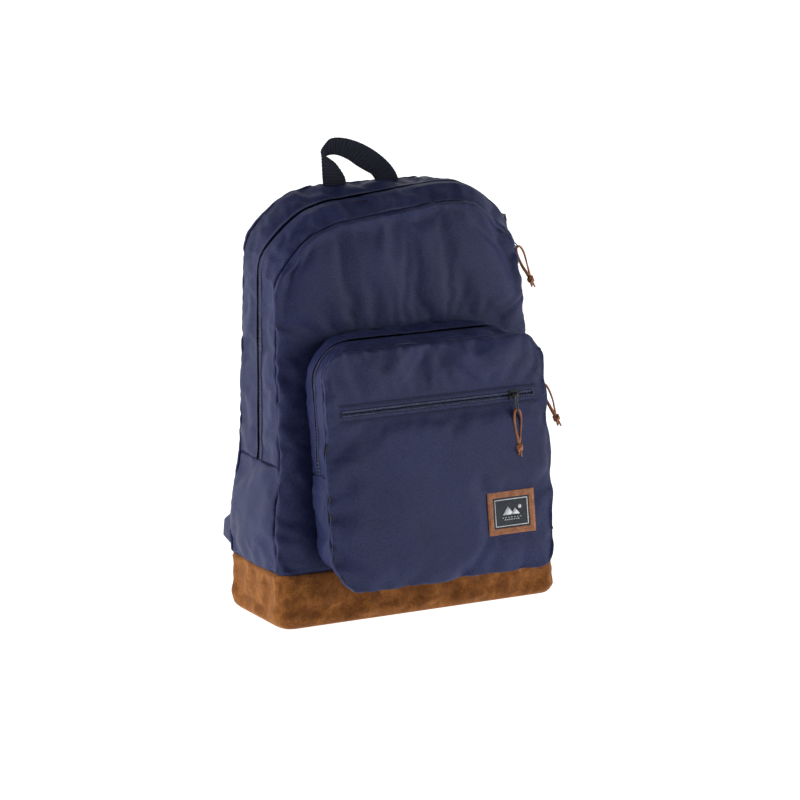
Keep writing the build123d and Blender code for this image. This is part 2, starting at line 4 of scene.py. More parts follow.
import bmesh
import bpy
from mathutils import Matrix, Vector, noise
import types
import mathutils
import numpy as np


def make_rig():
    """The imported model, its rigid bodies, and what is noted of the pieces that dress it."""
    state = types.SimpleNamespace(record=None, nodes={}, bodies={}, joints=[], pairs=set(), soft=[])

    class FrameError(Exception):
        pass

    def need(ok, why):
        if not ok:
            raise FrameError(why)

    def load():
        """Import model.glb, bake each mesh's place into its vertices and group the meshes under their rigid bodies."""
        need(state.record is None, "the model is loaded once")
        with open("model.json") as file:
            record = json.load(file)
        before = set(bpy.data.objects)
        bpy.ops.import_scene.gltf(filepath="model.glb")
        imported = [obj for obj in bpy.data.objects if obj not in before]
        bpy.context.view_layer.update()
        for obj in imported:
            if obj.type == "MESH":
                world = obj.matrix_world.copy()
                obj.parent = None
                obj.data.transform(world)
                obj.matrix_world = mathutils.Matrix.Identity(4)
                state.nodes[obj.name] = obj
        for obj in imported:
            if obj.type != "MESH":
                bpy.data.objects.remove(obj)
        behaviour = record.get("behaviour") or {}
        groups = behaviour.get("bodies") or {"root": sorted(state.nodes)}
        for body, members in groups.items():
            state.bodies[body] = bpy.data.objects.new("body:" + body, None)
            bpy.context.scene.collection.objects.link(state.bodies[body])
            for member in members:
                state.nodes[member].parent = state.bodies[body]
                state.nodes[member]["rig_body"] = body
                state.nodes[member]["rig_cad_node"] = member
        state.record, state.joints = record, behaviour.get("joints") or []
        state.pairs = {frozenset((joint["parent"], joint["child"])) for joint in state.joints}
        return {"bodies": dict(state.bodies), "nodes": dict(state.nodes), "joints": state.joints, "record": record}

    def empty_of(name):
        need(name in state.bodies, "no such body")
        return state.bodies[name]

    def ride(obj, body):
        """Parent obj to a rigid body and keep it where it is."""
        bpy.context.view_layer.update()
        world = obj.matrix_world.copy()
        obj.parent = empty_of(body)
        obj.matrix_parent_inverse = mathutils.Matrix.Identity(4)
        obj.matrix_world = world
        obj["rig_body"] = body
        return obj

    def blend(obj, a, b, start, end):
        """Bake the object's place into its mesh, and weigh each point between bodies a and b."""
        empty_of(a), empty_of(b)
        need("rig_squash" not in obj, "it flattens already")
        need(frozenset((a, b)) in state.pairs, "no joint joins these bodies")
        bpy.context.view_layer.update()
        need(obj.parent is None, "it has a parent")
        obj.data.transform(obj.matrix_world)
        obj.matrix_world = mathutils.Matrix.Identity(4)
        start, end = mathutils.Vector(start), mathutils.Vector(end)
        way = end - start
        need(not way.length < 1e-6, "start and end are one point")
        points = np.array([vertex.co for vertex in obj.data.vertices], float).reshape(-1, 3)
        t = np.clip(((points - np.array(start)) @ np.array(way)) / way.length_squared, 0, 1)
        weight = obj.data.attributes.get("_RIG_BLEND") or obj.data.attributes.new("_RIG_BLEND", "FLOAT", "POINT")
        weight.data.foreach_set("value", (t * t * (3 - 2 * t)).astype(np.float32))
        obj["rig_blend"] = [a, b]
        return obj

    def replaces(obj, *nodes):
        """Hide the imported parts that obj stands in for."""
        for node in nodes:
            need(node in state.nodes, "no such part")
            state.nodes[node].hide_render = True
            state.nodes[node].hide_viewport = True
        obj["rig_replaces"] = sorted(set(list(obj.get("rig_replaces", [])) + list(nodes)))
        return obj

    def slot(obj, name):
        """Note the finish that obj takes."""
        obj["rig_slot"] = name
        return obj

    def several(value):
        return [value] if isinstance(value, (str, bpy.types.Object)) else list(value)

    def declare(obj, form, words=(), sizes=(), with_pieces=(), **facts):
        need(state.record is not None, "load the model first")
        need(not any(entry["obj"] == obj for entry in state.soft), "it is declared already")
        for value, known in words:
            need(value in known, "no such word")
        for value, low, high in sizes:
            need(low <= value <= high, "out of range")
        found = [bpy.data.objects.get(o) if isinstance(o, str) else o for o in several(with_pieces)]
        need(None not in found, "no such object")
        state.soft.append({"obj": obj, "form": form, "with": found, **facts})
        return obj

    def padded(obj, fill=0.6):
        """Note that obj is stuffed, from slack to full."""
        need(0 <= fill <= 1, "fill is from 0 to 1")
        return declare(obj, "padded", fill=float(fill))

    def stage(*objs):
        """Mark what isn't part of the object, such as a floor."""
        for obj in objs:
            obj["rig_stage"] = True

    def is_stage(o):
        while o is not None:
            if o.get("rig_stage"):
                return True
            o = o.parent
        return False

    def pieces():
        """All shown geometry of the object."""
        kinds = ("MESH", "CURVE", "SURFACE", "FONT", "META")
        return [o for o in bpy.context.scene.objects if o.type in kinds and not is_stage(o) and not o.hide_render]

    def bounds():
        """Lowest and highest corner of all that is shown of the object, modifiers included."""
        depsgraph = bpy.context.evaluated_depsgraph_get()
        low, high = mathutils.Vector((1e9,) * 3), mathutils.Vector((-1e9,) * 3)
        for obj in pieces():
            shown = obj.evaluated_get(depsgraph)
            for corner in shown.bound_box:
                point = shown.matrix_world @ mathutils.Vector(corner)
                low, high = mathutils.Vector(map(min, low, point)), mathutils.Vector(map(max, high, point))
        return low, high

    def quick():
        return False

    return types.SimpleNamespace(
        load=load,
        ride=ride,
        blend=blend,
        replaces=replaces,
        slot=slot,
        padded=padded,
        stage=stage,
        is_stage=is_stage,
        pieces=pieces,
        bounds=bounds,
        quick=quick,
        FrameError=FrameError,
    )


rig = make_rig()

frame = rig.load()
cad_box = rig.bounds()

# Shapes are worked out in millimetres and turned to metres when a piece is made.
MM = 0.001

# ---- camera ----
AIM = Vector((7.3, 0, 215)) * MM
TURN, RISE, AWAY = math.radians(28.4), math.radians(12.5), 3.98
camera = bpy.data.objects.new("camera", bpy.data.cameras.new("camera"))
camera.data.lens = 170
camera.data.sensor_width = 36
toward_camera = Vector((-math.sin(TURN) * math.cos(RISE), -math.cos(TURN) * math.cos(RISE), math.sin(RISE)))
camera.location = AIM + toward_camera * AWAY
camera.rotation_euler = toward_camera.to_track_quat("Z", "Y").to_euler()
bpy.context.scene.collection.objects.link(camera)
bpy.context.scene.camera = camera

# ---- sizes of the bag ----
HEIGHT = 441
HALF_WIDTH_BASE, HALF_WIDTH_TOP = 157, 143
CORNER = 60
BACK_Y = 64
DEPTH_BASE, DEPTH_TOP = 128, 63
CROWN_DEPTH, CROWN_DROP = 42, math.tan(math.radians(40))
LEAN = math.atan((DEPTH_BASE - DEPTH_TOP) / HEIGHT)
ZIP_LEAN = math.atan((64 - 34.7) / HEIGHT)
SIDE_LEAN = math.atan((HALF_WIDTH_BASE - HALF_WIDTH_TOP) / HEIGHT)
BOOT_TOP, ZIP_END, MOUTH_FOLD = 57, 166, 302
POCKET_DEPTH, POCKET_ZIP_DEPTH, POCKET_ZIP_END = 66, 30, 160
POCKET_BOTTOM, POCKET_TOP = 57, 303
POCKET_HALF, POCKET_SINK = 118, math.tan(math.radians(15))
SMALL_ZIP_Z, SMALL_ZIP_HALF = 224, 101
PATCH_AT, PATCH_SIZE, PATCH_BORDER = (77, 102), (56, 45), 6.5
PATCH_SEAM, LABEL_UNDER = 2.6, 0.4

FRONT = Matrix.Translation((0, BACK_Y - DEPTH_BASE, 0)) @ Matrix.Rotation(-LEAN, 4, "X")
ZIP = Matrix.Rotation(-ZIP_LEAN, 4, "X")
# The directions across the main zip and across the pocket's, and out of the front.
ZIP_ACROSS = ZIP.to_3x3() @ Vector((0, 1, 0))
FRONT_ACROSS = FRONT.to_3x3() @ Vector((0, 1, 0))
FACE_OUT = -FRONT_ACROSS


# ---- small tools ----
def soft_step(low, high, value):
    t = min(1.0, max(0.0, (value - low) / (high - low)))
    return t * t * (3 - 2 * t)


def read_off(table, place):
    """The value at a place, straight between the (place, value) pairs of a table."""
    for (p0, a), (p1, b) in zip(table, table[1:]):
        if place <= p1:
            return a + (b - a) * (place - p0) / (p1 - p0)
    return table[-1][1]


def ripple(point, size, seed=0.0):
    """Smooth, repeatable unevenness from -1 to 1, of about that size in millimetres."""
    return noise.noise(Vector(point) / size + Vector((seed, 2.3 * seed, -1.7 * seed)))


def along_points(points, t):
    """A smooth path through points at t from 0 to 1."""
    spans = len(points) - 1
    place = min(t * spans, spans - 1e-6)
    n = int(place)
    f = place - n
    p0, p1, p2, p3 = (Vector(points[min(max(m, 0), spans)]) for m in (n - 1, n, n + 1, n + 2))
    return 0.5 * ((2 * p1) + (p2 - p0) * f + (2 * p0 - 5 * p1 + 4 * p2 - p3) * f * f
                  + (3 * p1 - p0 - 3 * p2 + p3) * f * f * f)


def cut_cube(cells):
    """A closed box cut into cells; each vertex sits at its counts along the three directions."""
    bm = bmesh.new()
    bmesh.ops.create_cube(bm, size=1)
    for axis in range(3):
        along = [e for e in bm.edges if abs((e.verts[1].co - e.verts[0].co)[axis]) > 0.9]
        bmesh.ops.subdivide_edges(bm, edges=along, cuts=cells[axis] - 1, use_grid_fill=True)
    for v in bm.verts:
        v.co = Vector(((v.co[a] + 0.5) * cells[a] for a in range(3)))
    return bm


def sheet_of(cells, place, bm=None):
    """A grid whose corners run from (0, 0) to (1, 1), each vertex moved to place(s, t)."""
    bm = bm or bmesh.new()
    made = bmesh.ops.create_grid(bm, x_segments=cells[0], y_segments=cells[1], size=0.5)["verts"]
    uv = bm.loops.layers.uv.verify()
    for f in {f for v in made for f in v.link_faces}:
        for loop in f.loops:
            loop[uv].uv = (loop.vert.co.x + 0.5, loop.vert.co.y + 0.5)
    for v in made:
        v.co = place(v.co.x + 0.5, v.co.y + 0.5)
    return bm


def piece(name, bm, materials, body=None, slot=None, replaces=(), thick=0.0, rounds=0, offset=-1.0):
    """A finished piece from a mesh in millimetres."""
    bmesh.ops.scale(bm, vec=(MM, MM, MM), verts=bm.verts)
    mesh = bpy.data.meshes.new(name)
    bm.to_mesh(mesh)
    bm.free()
    mesh.shade_smooth()
    obj = bpy.data.objects.new(name, mesh)
    bpy.context.scene.collection.objects.link(obj)
    for m in materials:
        mesh.materials.append(m)
    if thick:
        wall = obj.modifiers.new("wall", "SOLIDIFY")
        wall.thickness = thick * MM
        wall.offset = offset
        wall.use_even_offset = False
        wall.material_offset = len(materials) - 1
    if rounds:
        smooth = obj.modifiers.new("rounds", "SUBSURF")
        smooth.levels = smooth.render_levels = rounds
    if body:
        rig.ride(obj, body)
    if slot:
        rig.slot(obj, slot)
    if replaces:
        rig.replaces(obj, *replaces)
    return obj


# ---- materials ----
def colour(code):
    """An sRGB hex colour as the linear values that a shader takes."""
    parts = [int(code[n:n + 2], 16) / 255 for n in (1, 3, 5)]
    return [c / 12.92 if c <= 0.04045 else ((c + 0.055) / 1.055) ** 2.4 for c in parts] + [1]


def add(tree, kind, links=(), **settings):
    """A node with its settings, and links from (its input, another node's output)."""
    node = tree.nodes.new(kind)
    for name, value in settings.items():
        setattr(node, name, value)
    for key, value in links:
        if isinstance(value, bpy.types.NodeSocket):
            tree.links.new(value, node.inputs[key])
        else:
            node.inputs[key].default_value = value
    return node


def finish_of(name, **sockets):
    """A material whose shader has those values, its node tree and its shader."""
    made = bpy.data.materials.new(name)
    made.use_nodes = True
    shader = made.node_tree.nodes["Principled BSDF"]
    for key, value in sockets.items():
        shader.inputs[key.replace("_", " ")].default_value = value
    return made, made.node_tree, shader


def surface(tree, shader, tone, stops, relief, strength, distance):
    """Gives a shader its colours along a tone, and its relief."""
    shades = add(tree, "ShaderNodeValToRGB", [("Fac", tone)])
    elements = shades.color_ramp.elements
    elements[0].position, elements[0].color = stops[0][0], colour(stops[0][1])
    elements[1].position, elements[1].color = stops[-1][0], colour(stops[-1][1])
    for place, code in stops[1:-1]:
        elements.new(place).color = colour(code)
    tree.links.new(shades.outputs["Color"], shader.inputs["Base Color"])
    raised = add(tree, "ShaderNodeBump", [("Strength", strength), ("Distance", distance), ("Height", relief)])
    tree.links.new(raised.outputs["Normal"], shader.inputs["Normal"])


# A wave texture at scale 1 has a band every 0.314 of its coordinate.
BANDS_PER_SCALE = 0.314


def woven(name, dark, light, thread, roughness, sheen, strength, fleck=0.0016):
    """Woven cloth: two crossing sets of threads, a fine fleck in the yarn and slow changes of shade."""
    made, tree, shader = finish_of(name, Roughness=roughness, Sheen_Weight=sheen, Sheen_Roughness=0.45,
                                   Specular_IOR_Level=0.24)
    shader.inputs["Sheen Tint"].default_value = colour("#8f9bd8")
    at = add(tree, "ShaderNodeTexCoord")
    warp, weft = (add(tree, "ShaderNodeTexWave", [
        ("Vector", at.outputs["UV"]), ("Scale", BANDS_PER_SCALE / thread), ("Distortion", 0.6), ("Detail", 1.0),
        ("Detail Scale", 2.0)], bands_direction=way) for way in "XY")
    cross = add(tree, "ShaderNodeMath", [(0, warp.outputs["Color"]), (1, weft.outputs["Color"])],
                operation="MULTIPLY")
    grain = add(tree, "ShaderNodeTexNoise", [("Vector", at.outputs["Object"]), ("Scale", 1 / fleck),
                                             ("Detail", 2.0), ("Roughness", 0.7)])
    slow = add(tree, "ShaderNodeTexNoise", [("Vector", at.outputs["Object"]), ("Scale", 11.0), ("Detail", 2.0)])
    tone = add(tree, "ShaderNodeMath", [(0, grain.outputs["Fac"]), (1, 0.85), (2, 0.0)],
               operation="MULTIPLY_ADD")
    both = add(tree, "ShaderNodeMath", [(0, slow.outputs["Fac"]), (1, 0.22), (2, tone.outputs[0])],
               operation="MULTIPLY_ADD")
    total = add(tree, "ShaderNodeMath", [(0, grain.outputs["Fac"]), (1, 0.8), (2, cross.outputs[0])],
                operation="MULTIPLY_ADD")
    surface(tree, shader, both.outputs[0], ((0.36, dark), (0.7, light)), total.outputs[0], strength, 0.0006)
    return made


# Plain-weave polyester, piece-dyed navy: a heathered, slightly lustrous face. Its threads are 0.5 mm
# apart, drawn at 1.2 mm so that they show.
NAVY = woven("navy polyester canvas", "#12162f", "#2b325e", 0.0012, 0.5, 0.08, 0.5, 0.0011)
# Thin black plain-weave polyester inside the bag.
LINING = woven("black polyester lining", "#14151c", "#2b2d38", 0.001, 0.7, 0.1, 0.3)


def make_webbing():
    """Ribbed polypropylene webbing: dull, with ribs that run along the band."""
    made, tree, shader = finish_of("ribbed navy webbing", Roughness=0.7, Specular_IOR_Level=0.2)
    at = add(tree, "ShaderNodeTexCoord")
    picks = add(tree, "ShaderNodeTexWave", [("Vector", at.outputs["UV"]), ("Scale", 22.0), ("Distortion", 0.4)],
                bands_direction="X")
    grain = add(tree, "ShaderNodeTexNoise", [("Vector", at.outputs["Object"]), ("Scale", 700.0), ("Detail", 2.0)])
    both = add(tree, "ShaderNodeMath", [(0, picks.outputs["Color"]), (1, 0.35), (2, grain.outputs["Fac"])],
               operation="MULTIPLY_ADD")
    surface(tree, shader, both.outputs[0], ((0.35, "#05070d"), (0.9, "#181c2d")), both.outputs[0], 0.5, 0.0005)
    return made


WEBBING = make_webbing()


def make_suede():
    """Split cowhide with a brushed nap: no gloss, mottled where the nap lies in different ways."""
    made, tree, shader = finish_of("tan brushed suede", Roughness=0.95, Sheen_Weight=0.5, Sheen_Roughness=0.6,
                                   Specular_IOR_Level=0.15)
    shader.inputs["Sheen Tint"].default_value = colour("#e0a878")
    at = add(tree, "ShaderNodeTexCoord")
    patches = add(tree, "ShaderNodeTexNoise", [("Vector", at.outputs["Object"]), ("Scale", 85.0), ("Detail", 6.0),
                                               ("Roughness", 0.66), ("Distortion", 0.5)])
    nap = add(tree, "ShaderNodeTexNoise", [("Vector", at.outputs["Object"]), ("Scale", 620.0), ("Detail", 2.0)])
    both = add(tree, "ShaderNodeMath", [(0, nap.outputs["Fac"]), (1, 0.35), (2, patches.outputs["Fac"])],
               operation="MULTIPLY_ADD")
    surface(tree, shader, both.outputs[0], ((0.42, "#48240d"), (0.66, "#6e3f19"), (0.9, "#935d2b")),
            both.outputs[0], 0.55, 0.0008)
    return made


SUEDE = make_suede()


def make_leather():
    """Vegetable-tanned cowhide, waxed: a fine pebbled grain with a soft shine and darker hollows."""
    made, tree, shader = finish_of("waxed vegetable-tanned leather", Roughness=0.5, Specular_IOR_Level=0.45)
    at = add(tree, "ShaderNodeTexCoord")
    pebble = add(tree, "ShaderNodeTexVoronoi", [("Vector", at.outputs["Object"]), ("Scale", 900.0)])
    tone = add(tree, "ShaderNodeTexNoise", [("Vector", at.outputs["Object"]), ("Scale", 160.0), ("Detail", 4.0)])
    surface(tree, shader, tone.outputs["Fac"], ((0.3, "#73401f"), (0.7, "#a5683f")), pebble.outputs["Distance"],
            0.4, 0.0003)
    return made


LEATHER = make_leather()


def grained(name, dark, light, size, roughness, strength=0.2, coat=0.0):
    """A finish with slight changes of shade and a fine uneven surface."""
    made, tree, shader = finish_of(name, Roughness=roughness, Coat_Weight=coat)
    at = add(tree, "ShaderNodeTexCoord")
    grain = add(tree, "ShaderNodeTexNoise", [("Vector", at.outputs["Object"]), ("Scale", 1 / size), ("Detail", 3.0)])
    surface(tree, shader, grain.outputs["Fac"], ((0.35, dark), (0.65, light)), grain.outputs["Fac"], strength,
            0.0003)
    return made


# Knitted polyester zip tape, dull and near black.
TAPE = woven("navy zip tape", "#0b0d16", "#1b1e2c", 0.001, 0.75, 0.1, 0.4, 0.001)
# Nylon coil, drawn from monofilament: smooth, with a soft shine that picks out each turn.
COIL = grained("navy nylon coil", "#22273a", "#474e6c", 0.002, 0.34, 0.1)
# Zinc casting under baked enamel: smooth, dark, with small sharp highlights.
ENAMEL = grained("baked enamel on zinc", "#0b0c10", "#191b22", 0.004, 0.3, 0.08, 0.3)
# Bonded polyester sewing threads.
NAVY_THREAD = grained("navy sewing thread", "#080a14", "#171b30", 0.0008, 0.6, 0.3)
TAN_THREAD = grained("tan sewing thread", "#a9683a", "#cf935e", 0.0008, 0.6, 0.3)
# Damask-woven label: dark grey ground, off-white figure.
LABEL = woven("woven label ground", "#23262b", "#44484e", 0.0008, 0.7, 0.05, 0.4, 0.0009)
LABEL_FIGURE = grained("woven label figure", "#b9bcc0", "#e6e7e8", 0.0008, 0.7, 0.3)
# Moulded parts and sheets inside.
ACETAL = grained("moulded black acetal", "#0d0e11", "#1b1c20", 0.003, 0.42, 0.1)
BOARD = grained("extruded polypropylene board", "#1a1b1e", "#2a2b30", 0.004, 0.55, 0.2)


# ---- main compartment: where each point of its cloth lies ----
COLUMNS, DEPTHS, ROWS = 56, 20, 81
ROW_Z = ((0, 0), (10, BOOT_TOP), (30, ZIP_END), (55, MOUTH_FOLD), (ROWS, HEIGHT))
SEAM = 5
# The filled bag spreads low down, its top is domed, and the crown falls towards the front on the left.
FLARE, DOME, FALL = 9, 13, 15
ZIP_REAR, ZIP_FRONT = 9, 11
SEAM_BACK, SEAM_FRONT = 2, 18


def half_width(z):
    return HALF_WIDTH_BASE - math.tan(SIDE_LEAN) * z + FLARE * (1 - soft_step(95, 185, z))


def rounded(x, z, half, top, radius):
    """Turns the square corner at (half, top) into a round one, moving the points inside with it."""
    a, b = (abs(x) - (half - radius)) / radius, (z - (top - radius)) / radius
    if a <= 0 or b <= 0:
        return x, z
    side = math.copysign(1, x)
    x = side * (half - radius + radius * a * math.sqrt(1 - b * b / 2))
    return x, top - radius + radius * b * math.sqrt(1 - a * a / 2)


def main_place(i, j, k):
    """A point of the main compartment from its counts across, forwards and upwards."""
    flat_z = read_off(ROW_Z, k)
    half = half_width(flat_z)
    x, z_round = rounded((2 * i / COLUMNS - 1) * half, flat_z, half, HEIGHT, CORNER)
    crown = soft_step(290, 385, z_round)
    dome = DOME * soft_step(55, 135, abs(x)) * soft_step(394 if x > 0 else 366, 436, z_round)
    fall = crown * FALL * (1 - soft_step(-110, 110, x))
    z = z_round
    low = 1 - soft_step(44, 78, z)
    for _ in range(4):
        zip_y, front_y = z * math.tan(ZIP_LEAN), z * math.tan(LEAN) + BACK_Y - DEPTH_BASE
        y = read_off(((0, BACK_Y), (SEAM_BACK, BACK_Y - SEAM), (ZIP_REAR, zip_y + 6), (ZIP_FRONT, zip_y - 6),
                      (SEAM_FRONT, front_y + SEAM), (DEPTHS, front_y)), j)
        from_zip = soft_step(4, 24, abs(y - zip_y)) if x > 0 else 1
        z = z_round - dome * (0.65 + 0.35 * from_zip) - crown * max(0, BACK_Y - y - CROWN_DEPTH) * CROWN_DROP
        z -= fall * min(1, max(0, BACK_Y - 6 - y) / 27)
    middle_y, half_y = (BACK_Y + front_y) / 2, (BACK_Y - front_y) / 2
    x, y_out = rounded(x, abs(y - middle_y), half, half_y, 3 + 13 * low)
    tuck = 4.5 * (1 - math.sqrt(1 - max(0, 1 - z / 9) ** 2))
    x -= math.copysign(tuck, x) * min(1, abs(x) / 60)
    return Vector((x, middle_y + math.copysign(y_out - tuck * min(1, y_out / 40), y - middle_y), z))


# ---- front pocket ----
P_COLUMNS, P_DEPTHS, P_ROWS = 46, 14, 46
P_COLUMN_X = ((0, -1), (4, -0.865), (42, 0.865), (P_COLUMNS, 1))
P_DEPTH = ((0, 0), (5, 24), (7, 36), (12, 59), (P_DEPTHS, POCKET_DEPTH))
P_ROW_Z = ((0, POCKET_BOTTOM), (19, POCKET_ZIP_END), (27, SMALL_ZIP_Z - 12), (30, SMALL_ZIP_Z - 5.5),
           (32, SMALL_ZIP_Z + 5.5), (35, SMALL_ZIP_Z + 12), (P_ROWS, POCKET_TOP))
P_ZIP_REAR, P_ZIP_FRONT, P_SEAM = 5, 7, 12


def pocket_flat(i, j, k):
    """A point of the pocket in the front panel's frame."""
    depth, z = read_off(P_DEPTH, j), read_off(P_ROW_Z, k)
    share = depth / POCKET_DEPTH
    half = POCKET_HALF + 12 * share
    x = read_off(P_COLUMN_X, i) * half
    x, z = rounded(x, z, half, POCKET_TOP, 55 - 25 * share)
    x, low = rounded(x, -z, half, -POCKET_BOTTOM, 34 - 8 * share)
    drop = soft_step(236, 292, -low) + 1 - soft_step(57, 112, -low)
    # The face is slack on its left, between the suede and the small zip.
    slack = (1 - soft_step(-120, -38, x)) * soft_step(70, 100, -low) * (1 - soft_step(176, 208, -low))
    depth -= 6.5 * share * slack
    return Vector((x, -depth, -low - drop * depth * POCKET_SINK))


def pocket_place(i, j, k):
    return FRONT @ pocket_flat(i, j, k)


# ---- from counts to panels ----
# The first panel of a shell is its opening.
MAIN_PANELS = ("zip_gap", "front_panel", "back_panel", "rear_gusset", "front_gusset", "side_panels",
               "suede_base")
POCKET_PANELS = ("open", "pocket_face", "pocket_gusset_rear", "pocket_gusset_front", "pocket_gusset_lower")


def main_panel(c):
    if c.z < 10:
        return "suede_base"
    if c.y < SEAM_BACK:
        return "back_panel"
    if c.y > SEAM_FRONT:
        return "front_panel"
    if c.z < 30:
        return "side_panels"
    if c.y < ZIP_REAR:
        return "rear_gusset"
    return "zip_gap" if c.y < ZIP_FRONT else "front_gusset"


def pocket_panel(c):
    if c.y < 0.01:
        return "open"
    if c.y > P_SEAM:
        slot = c.y > P_DEPTHS - 0.01 and 30 < c.z < 32 and 4 < c.x < 42
        return "open" if slot else "pocket_face"
    if c.z < 19:
        return "pocket_gusset_lower"
    if c.y < P_ZIP_REAR:
        return "pocket_gusset_rear"
    return "open" if c.y < P_ZIP_FRONT else "pocket_gusset_front"


def cloth_shell(cells, place, panel_of, panels):
    """The closed shell, with each face's panel, each vertex's counts and a map of the cloth in metres."""
    bm = cut_cube(cells)
    panel = bm.faces.layers.int.new("panel")
    counts = bm.verts.layers.float_vector.new("counts")
    uv = bm.loops.layers.uv.new("UVMap")
    axis_of = {}
    for f in bm.faces:
        c = f.calc_center_median()
        f[panel] = panels.index(panel_of(c))
        axis_of[f.index] = next(a for a in range(3) if abs(c[a]) < 0.01 or abs(c[a] - cells[a]) < 0.01)
    for v in bm.verts:
        v[counts] = v.co
        v.co = place(*v.co)
    for f in bm.faces:
        a, b = ((1, 2), (0, 2), (0, 1))[axis_of[f.index]]
        for loop in f.loops:
            loop[uv].uv = (loop.vert.co[a] * MM, loop.vert.co[b] * MM)
    # The depth counts run against Y, which turns the shell inside out.
    bmesh.ops.reverse_faces(bm, faces=bm.faces)
    return bm


SIM_FRAMES = 20


def puffed(bm, pinned, pressure, slack, caps, panels):
    """The shell filled by air pressure, with pinned(counts, place) from 0 to 1 holding its seams, then
    divided once. No point moves more than the cap of its panel."""
    counts = bm.verts.layers.float_vector["counts"]
    panel = bm.faces.layers.int["panel"]
    limit = [max(caps.get(panels[f[panel]], 4) for f in v.link_faces) for v in bm.verts]
    holds = [pinned(v[counts], v.co) for v in bm.verts]
    rest = [v.co.copy() for v in bm.verts]
    bmesh.ops.scale(bm, vec=(MM, MM, MM), verts=bm.verts)
    mesh = bpy.data.meshes.new("shell")
    bm.to_mesh(mesh)
    bm.free()
    obj = bpy.data.objects.new("shell", mesh)
    bpy.context.scene.collection.objects.link(obj)
    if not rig.quick():
        group = obj.vertex_groups.new(name="held")
        for n, hold in enumerate(holds):
            if hold > 0:
                group.add([n], hold, "REPLACE")
        cloth = obj.modifiers.new("cloth", "CLOTH")
        s = cloth.settings
        s.quality = 5
        s.mass = 0.25
        s.tension_stiffness = s.compression_stiffness = 12
        s.shear_stiffness = 5
        s.bending_stiffness = 0.05
        s.vertex_group_mass = "held"
        s.pin_stiffness = 1
        s.shrink_min = -slack
        s.use_pressure = True
        s.uniform_pressure_force = pressure
        s.effector_weights.gravity = 0
        cloth.point_cache.frame_start, cloth.point_cache.frame_end = 1, SIM_FRAMES
        for f in range(1, SIM_FRAMES + 1):
            bpy.context.scene.frame_set(f)
        done = obj.evaluated_get(bpy.context.evaluated_depsgraph_get())
        moved = [v.co.copy() / MM for v in done.data.vertices]
        obj.modifiers.remove(cloth)
        bpy.context.scene.frame_set(1)
        for n, v in enumerate(mesh.vertices):
            shift = moved[n] - rest[n]
            if shift.length > limit[n]:
                shift *= limit[n] / shift.length
            v.co = (rest[n] + shift) * MM
    divide = obj.modifiers.new("divide", "SUBSURF")
    divide.levels = divide.render_levels = 1
    divided = bpy.data.meshes.new_from_object(obj.evaluated_get(bpy.context.evaluated_depsgraph_get()))
    out = bmesh.new()
    out.from_mesh(divided)
    bmesh.ops.scale(out, vec=(1 / MM,) * 3, verts=out.verts)
    bpy.data.objects.remove(obj)
    return out


def seam_verts(bm):
    """Vertices where two panels meet, leaving out the opening's."""
    panel = bm.faces.layers.int["panel"]
    met = {v.index: {f[panel] for f in v.link_faces} for v in bm.verts}
    return {index for index, panels in met.items() if len(panels) > 1 and 0 not in panels}


def shaped(bm, offset_at):
    """Presses the seams in, rolls the cloth beside them and adds offset_at(counts, place) outwards."""
    counts = bm.verts.layers.float_vector["counts"]
    bm.verts.index_update()
    bm.normal_update()
    seams = seam_verts(bm)
    moves = {}
    for v in bm.verts:
        out = offset_at(v[counts], v.co)
        if v.index in seams:
            out -= 1.5
        elif any(e.other_vert(v).index in seams for e in v.link_edges):
            out += 0.35
        moves[v] = v.normal * out
    for v, move in moves.items():
        v.co += move
    bm.normal_update()
    return bm


def panel_piece(bm, number):
    """One panel cut out of a shell."""
    part = bm.copy()
    panel = part.faces.layers.int["panel"]
    bmesh.ops.delete(part, geom=[f for f in part.faces if f[panel] != number], context="FACES")
    return part


def fold_edges(bm, edges, steps):
    """Carries open edges on in steps; each step gives a vertex's move from its outward direction."""
    out = bm.verts.layers.float_vector.get("out") or bm.verts.layers.float_vector.new("out")
    for v in {v for e in edges for v in e.verts}:
        v[out] = v.normal
    for step in steps:
        made = bmesh.ops.extrude_edge_only(bm, edges=edges)["geom"]
        edges = [g for g in made if isinstance(g, bmesh.types.BMEdge)]
        for v in [g for g in made if isinstance(g, bmesh.types.BMVert)]:
            v.co += step(v, v[out])


def hem_and_lip(bm, is_lip, lip_steps):
    """Turns every open edge of a panel in as a seam allowance, and the zip's edges as a folded lip."""
    bm.normal_update()
    bm.faces.ensure_lookup_table()
    sample, way = bm.faces[0], bm.faces[0].normal.copy()
    open_edges = [e for e in bm.edges if e.is_boundary]
    lips = [e for e in open_edges if all(is_lip(v) for v in e.verts)]
    rest = [e for e in open_edges if e not in set(lips)]
    if rest:
        fold_edges(bm, rest, [lambda v, out: -2.2 * out])
    if lips:
        fold_edges(bm, lips, lip_steps)
    bmesh.ops.recalc_face_normals(bm, faces=bm.faces)
    if sample.normal.dot(way) < 0:
        bmesh.ops.reverse_faces(bm, faces=bm.faces)


# ---- main compartment ----
# Soft hollows and swellings in the cloth: where, how wide and how far out, in millimetres.
MAIN_DENTS = (
    ((-143, -2, 384), 13, -3.2), ((-141, 4, 372), 9, 1.4), ((-39, 8, 430), 12, -2.4),
    ((-60, 8, 428), 10, 1.2), ((-148, -8, 300), 16, -1.6), ((-150, 2, 262), 14, 1.4),
    ((-149, -4, 226), 13, -1.8), ((-151, -18, 195), 14, 1.2), ((-153, -10, 130), 20, -2.0),
    ((-154, 10, 100), 22, 1.6), ((60, 4, 428), 16, -1.4), ((20, -6, 330), 50, 2.5),
)


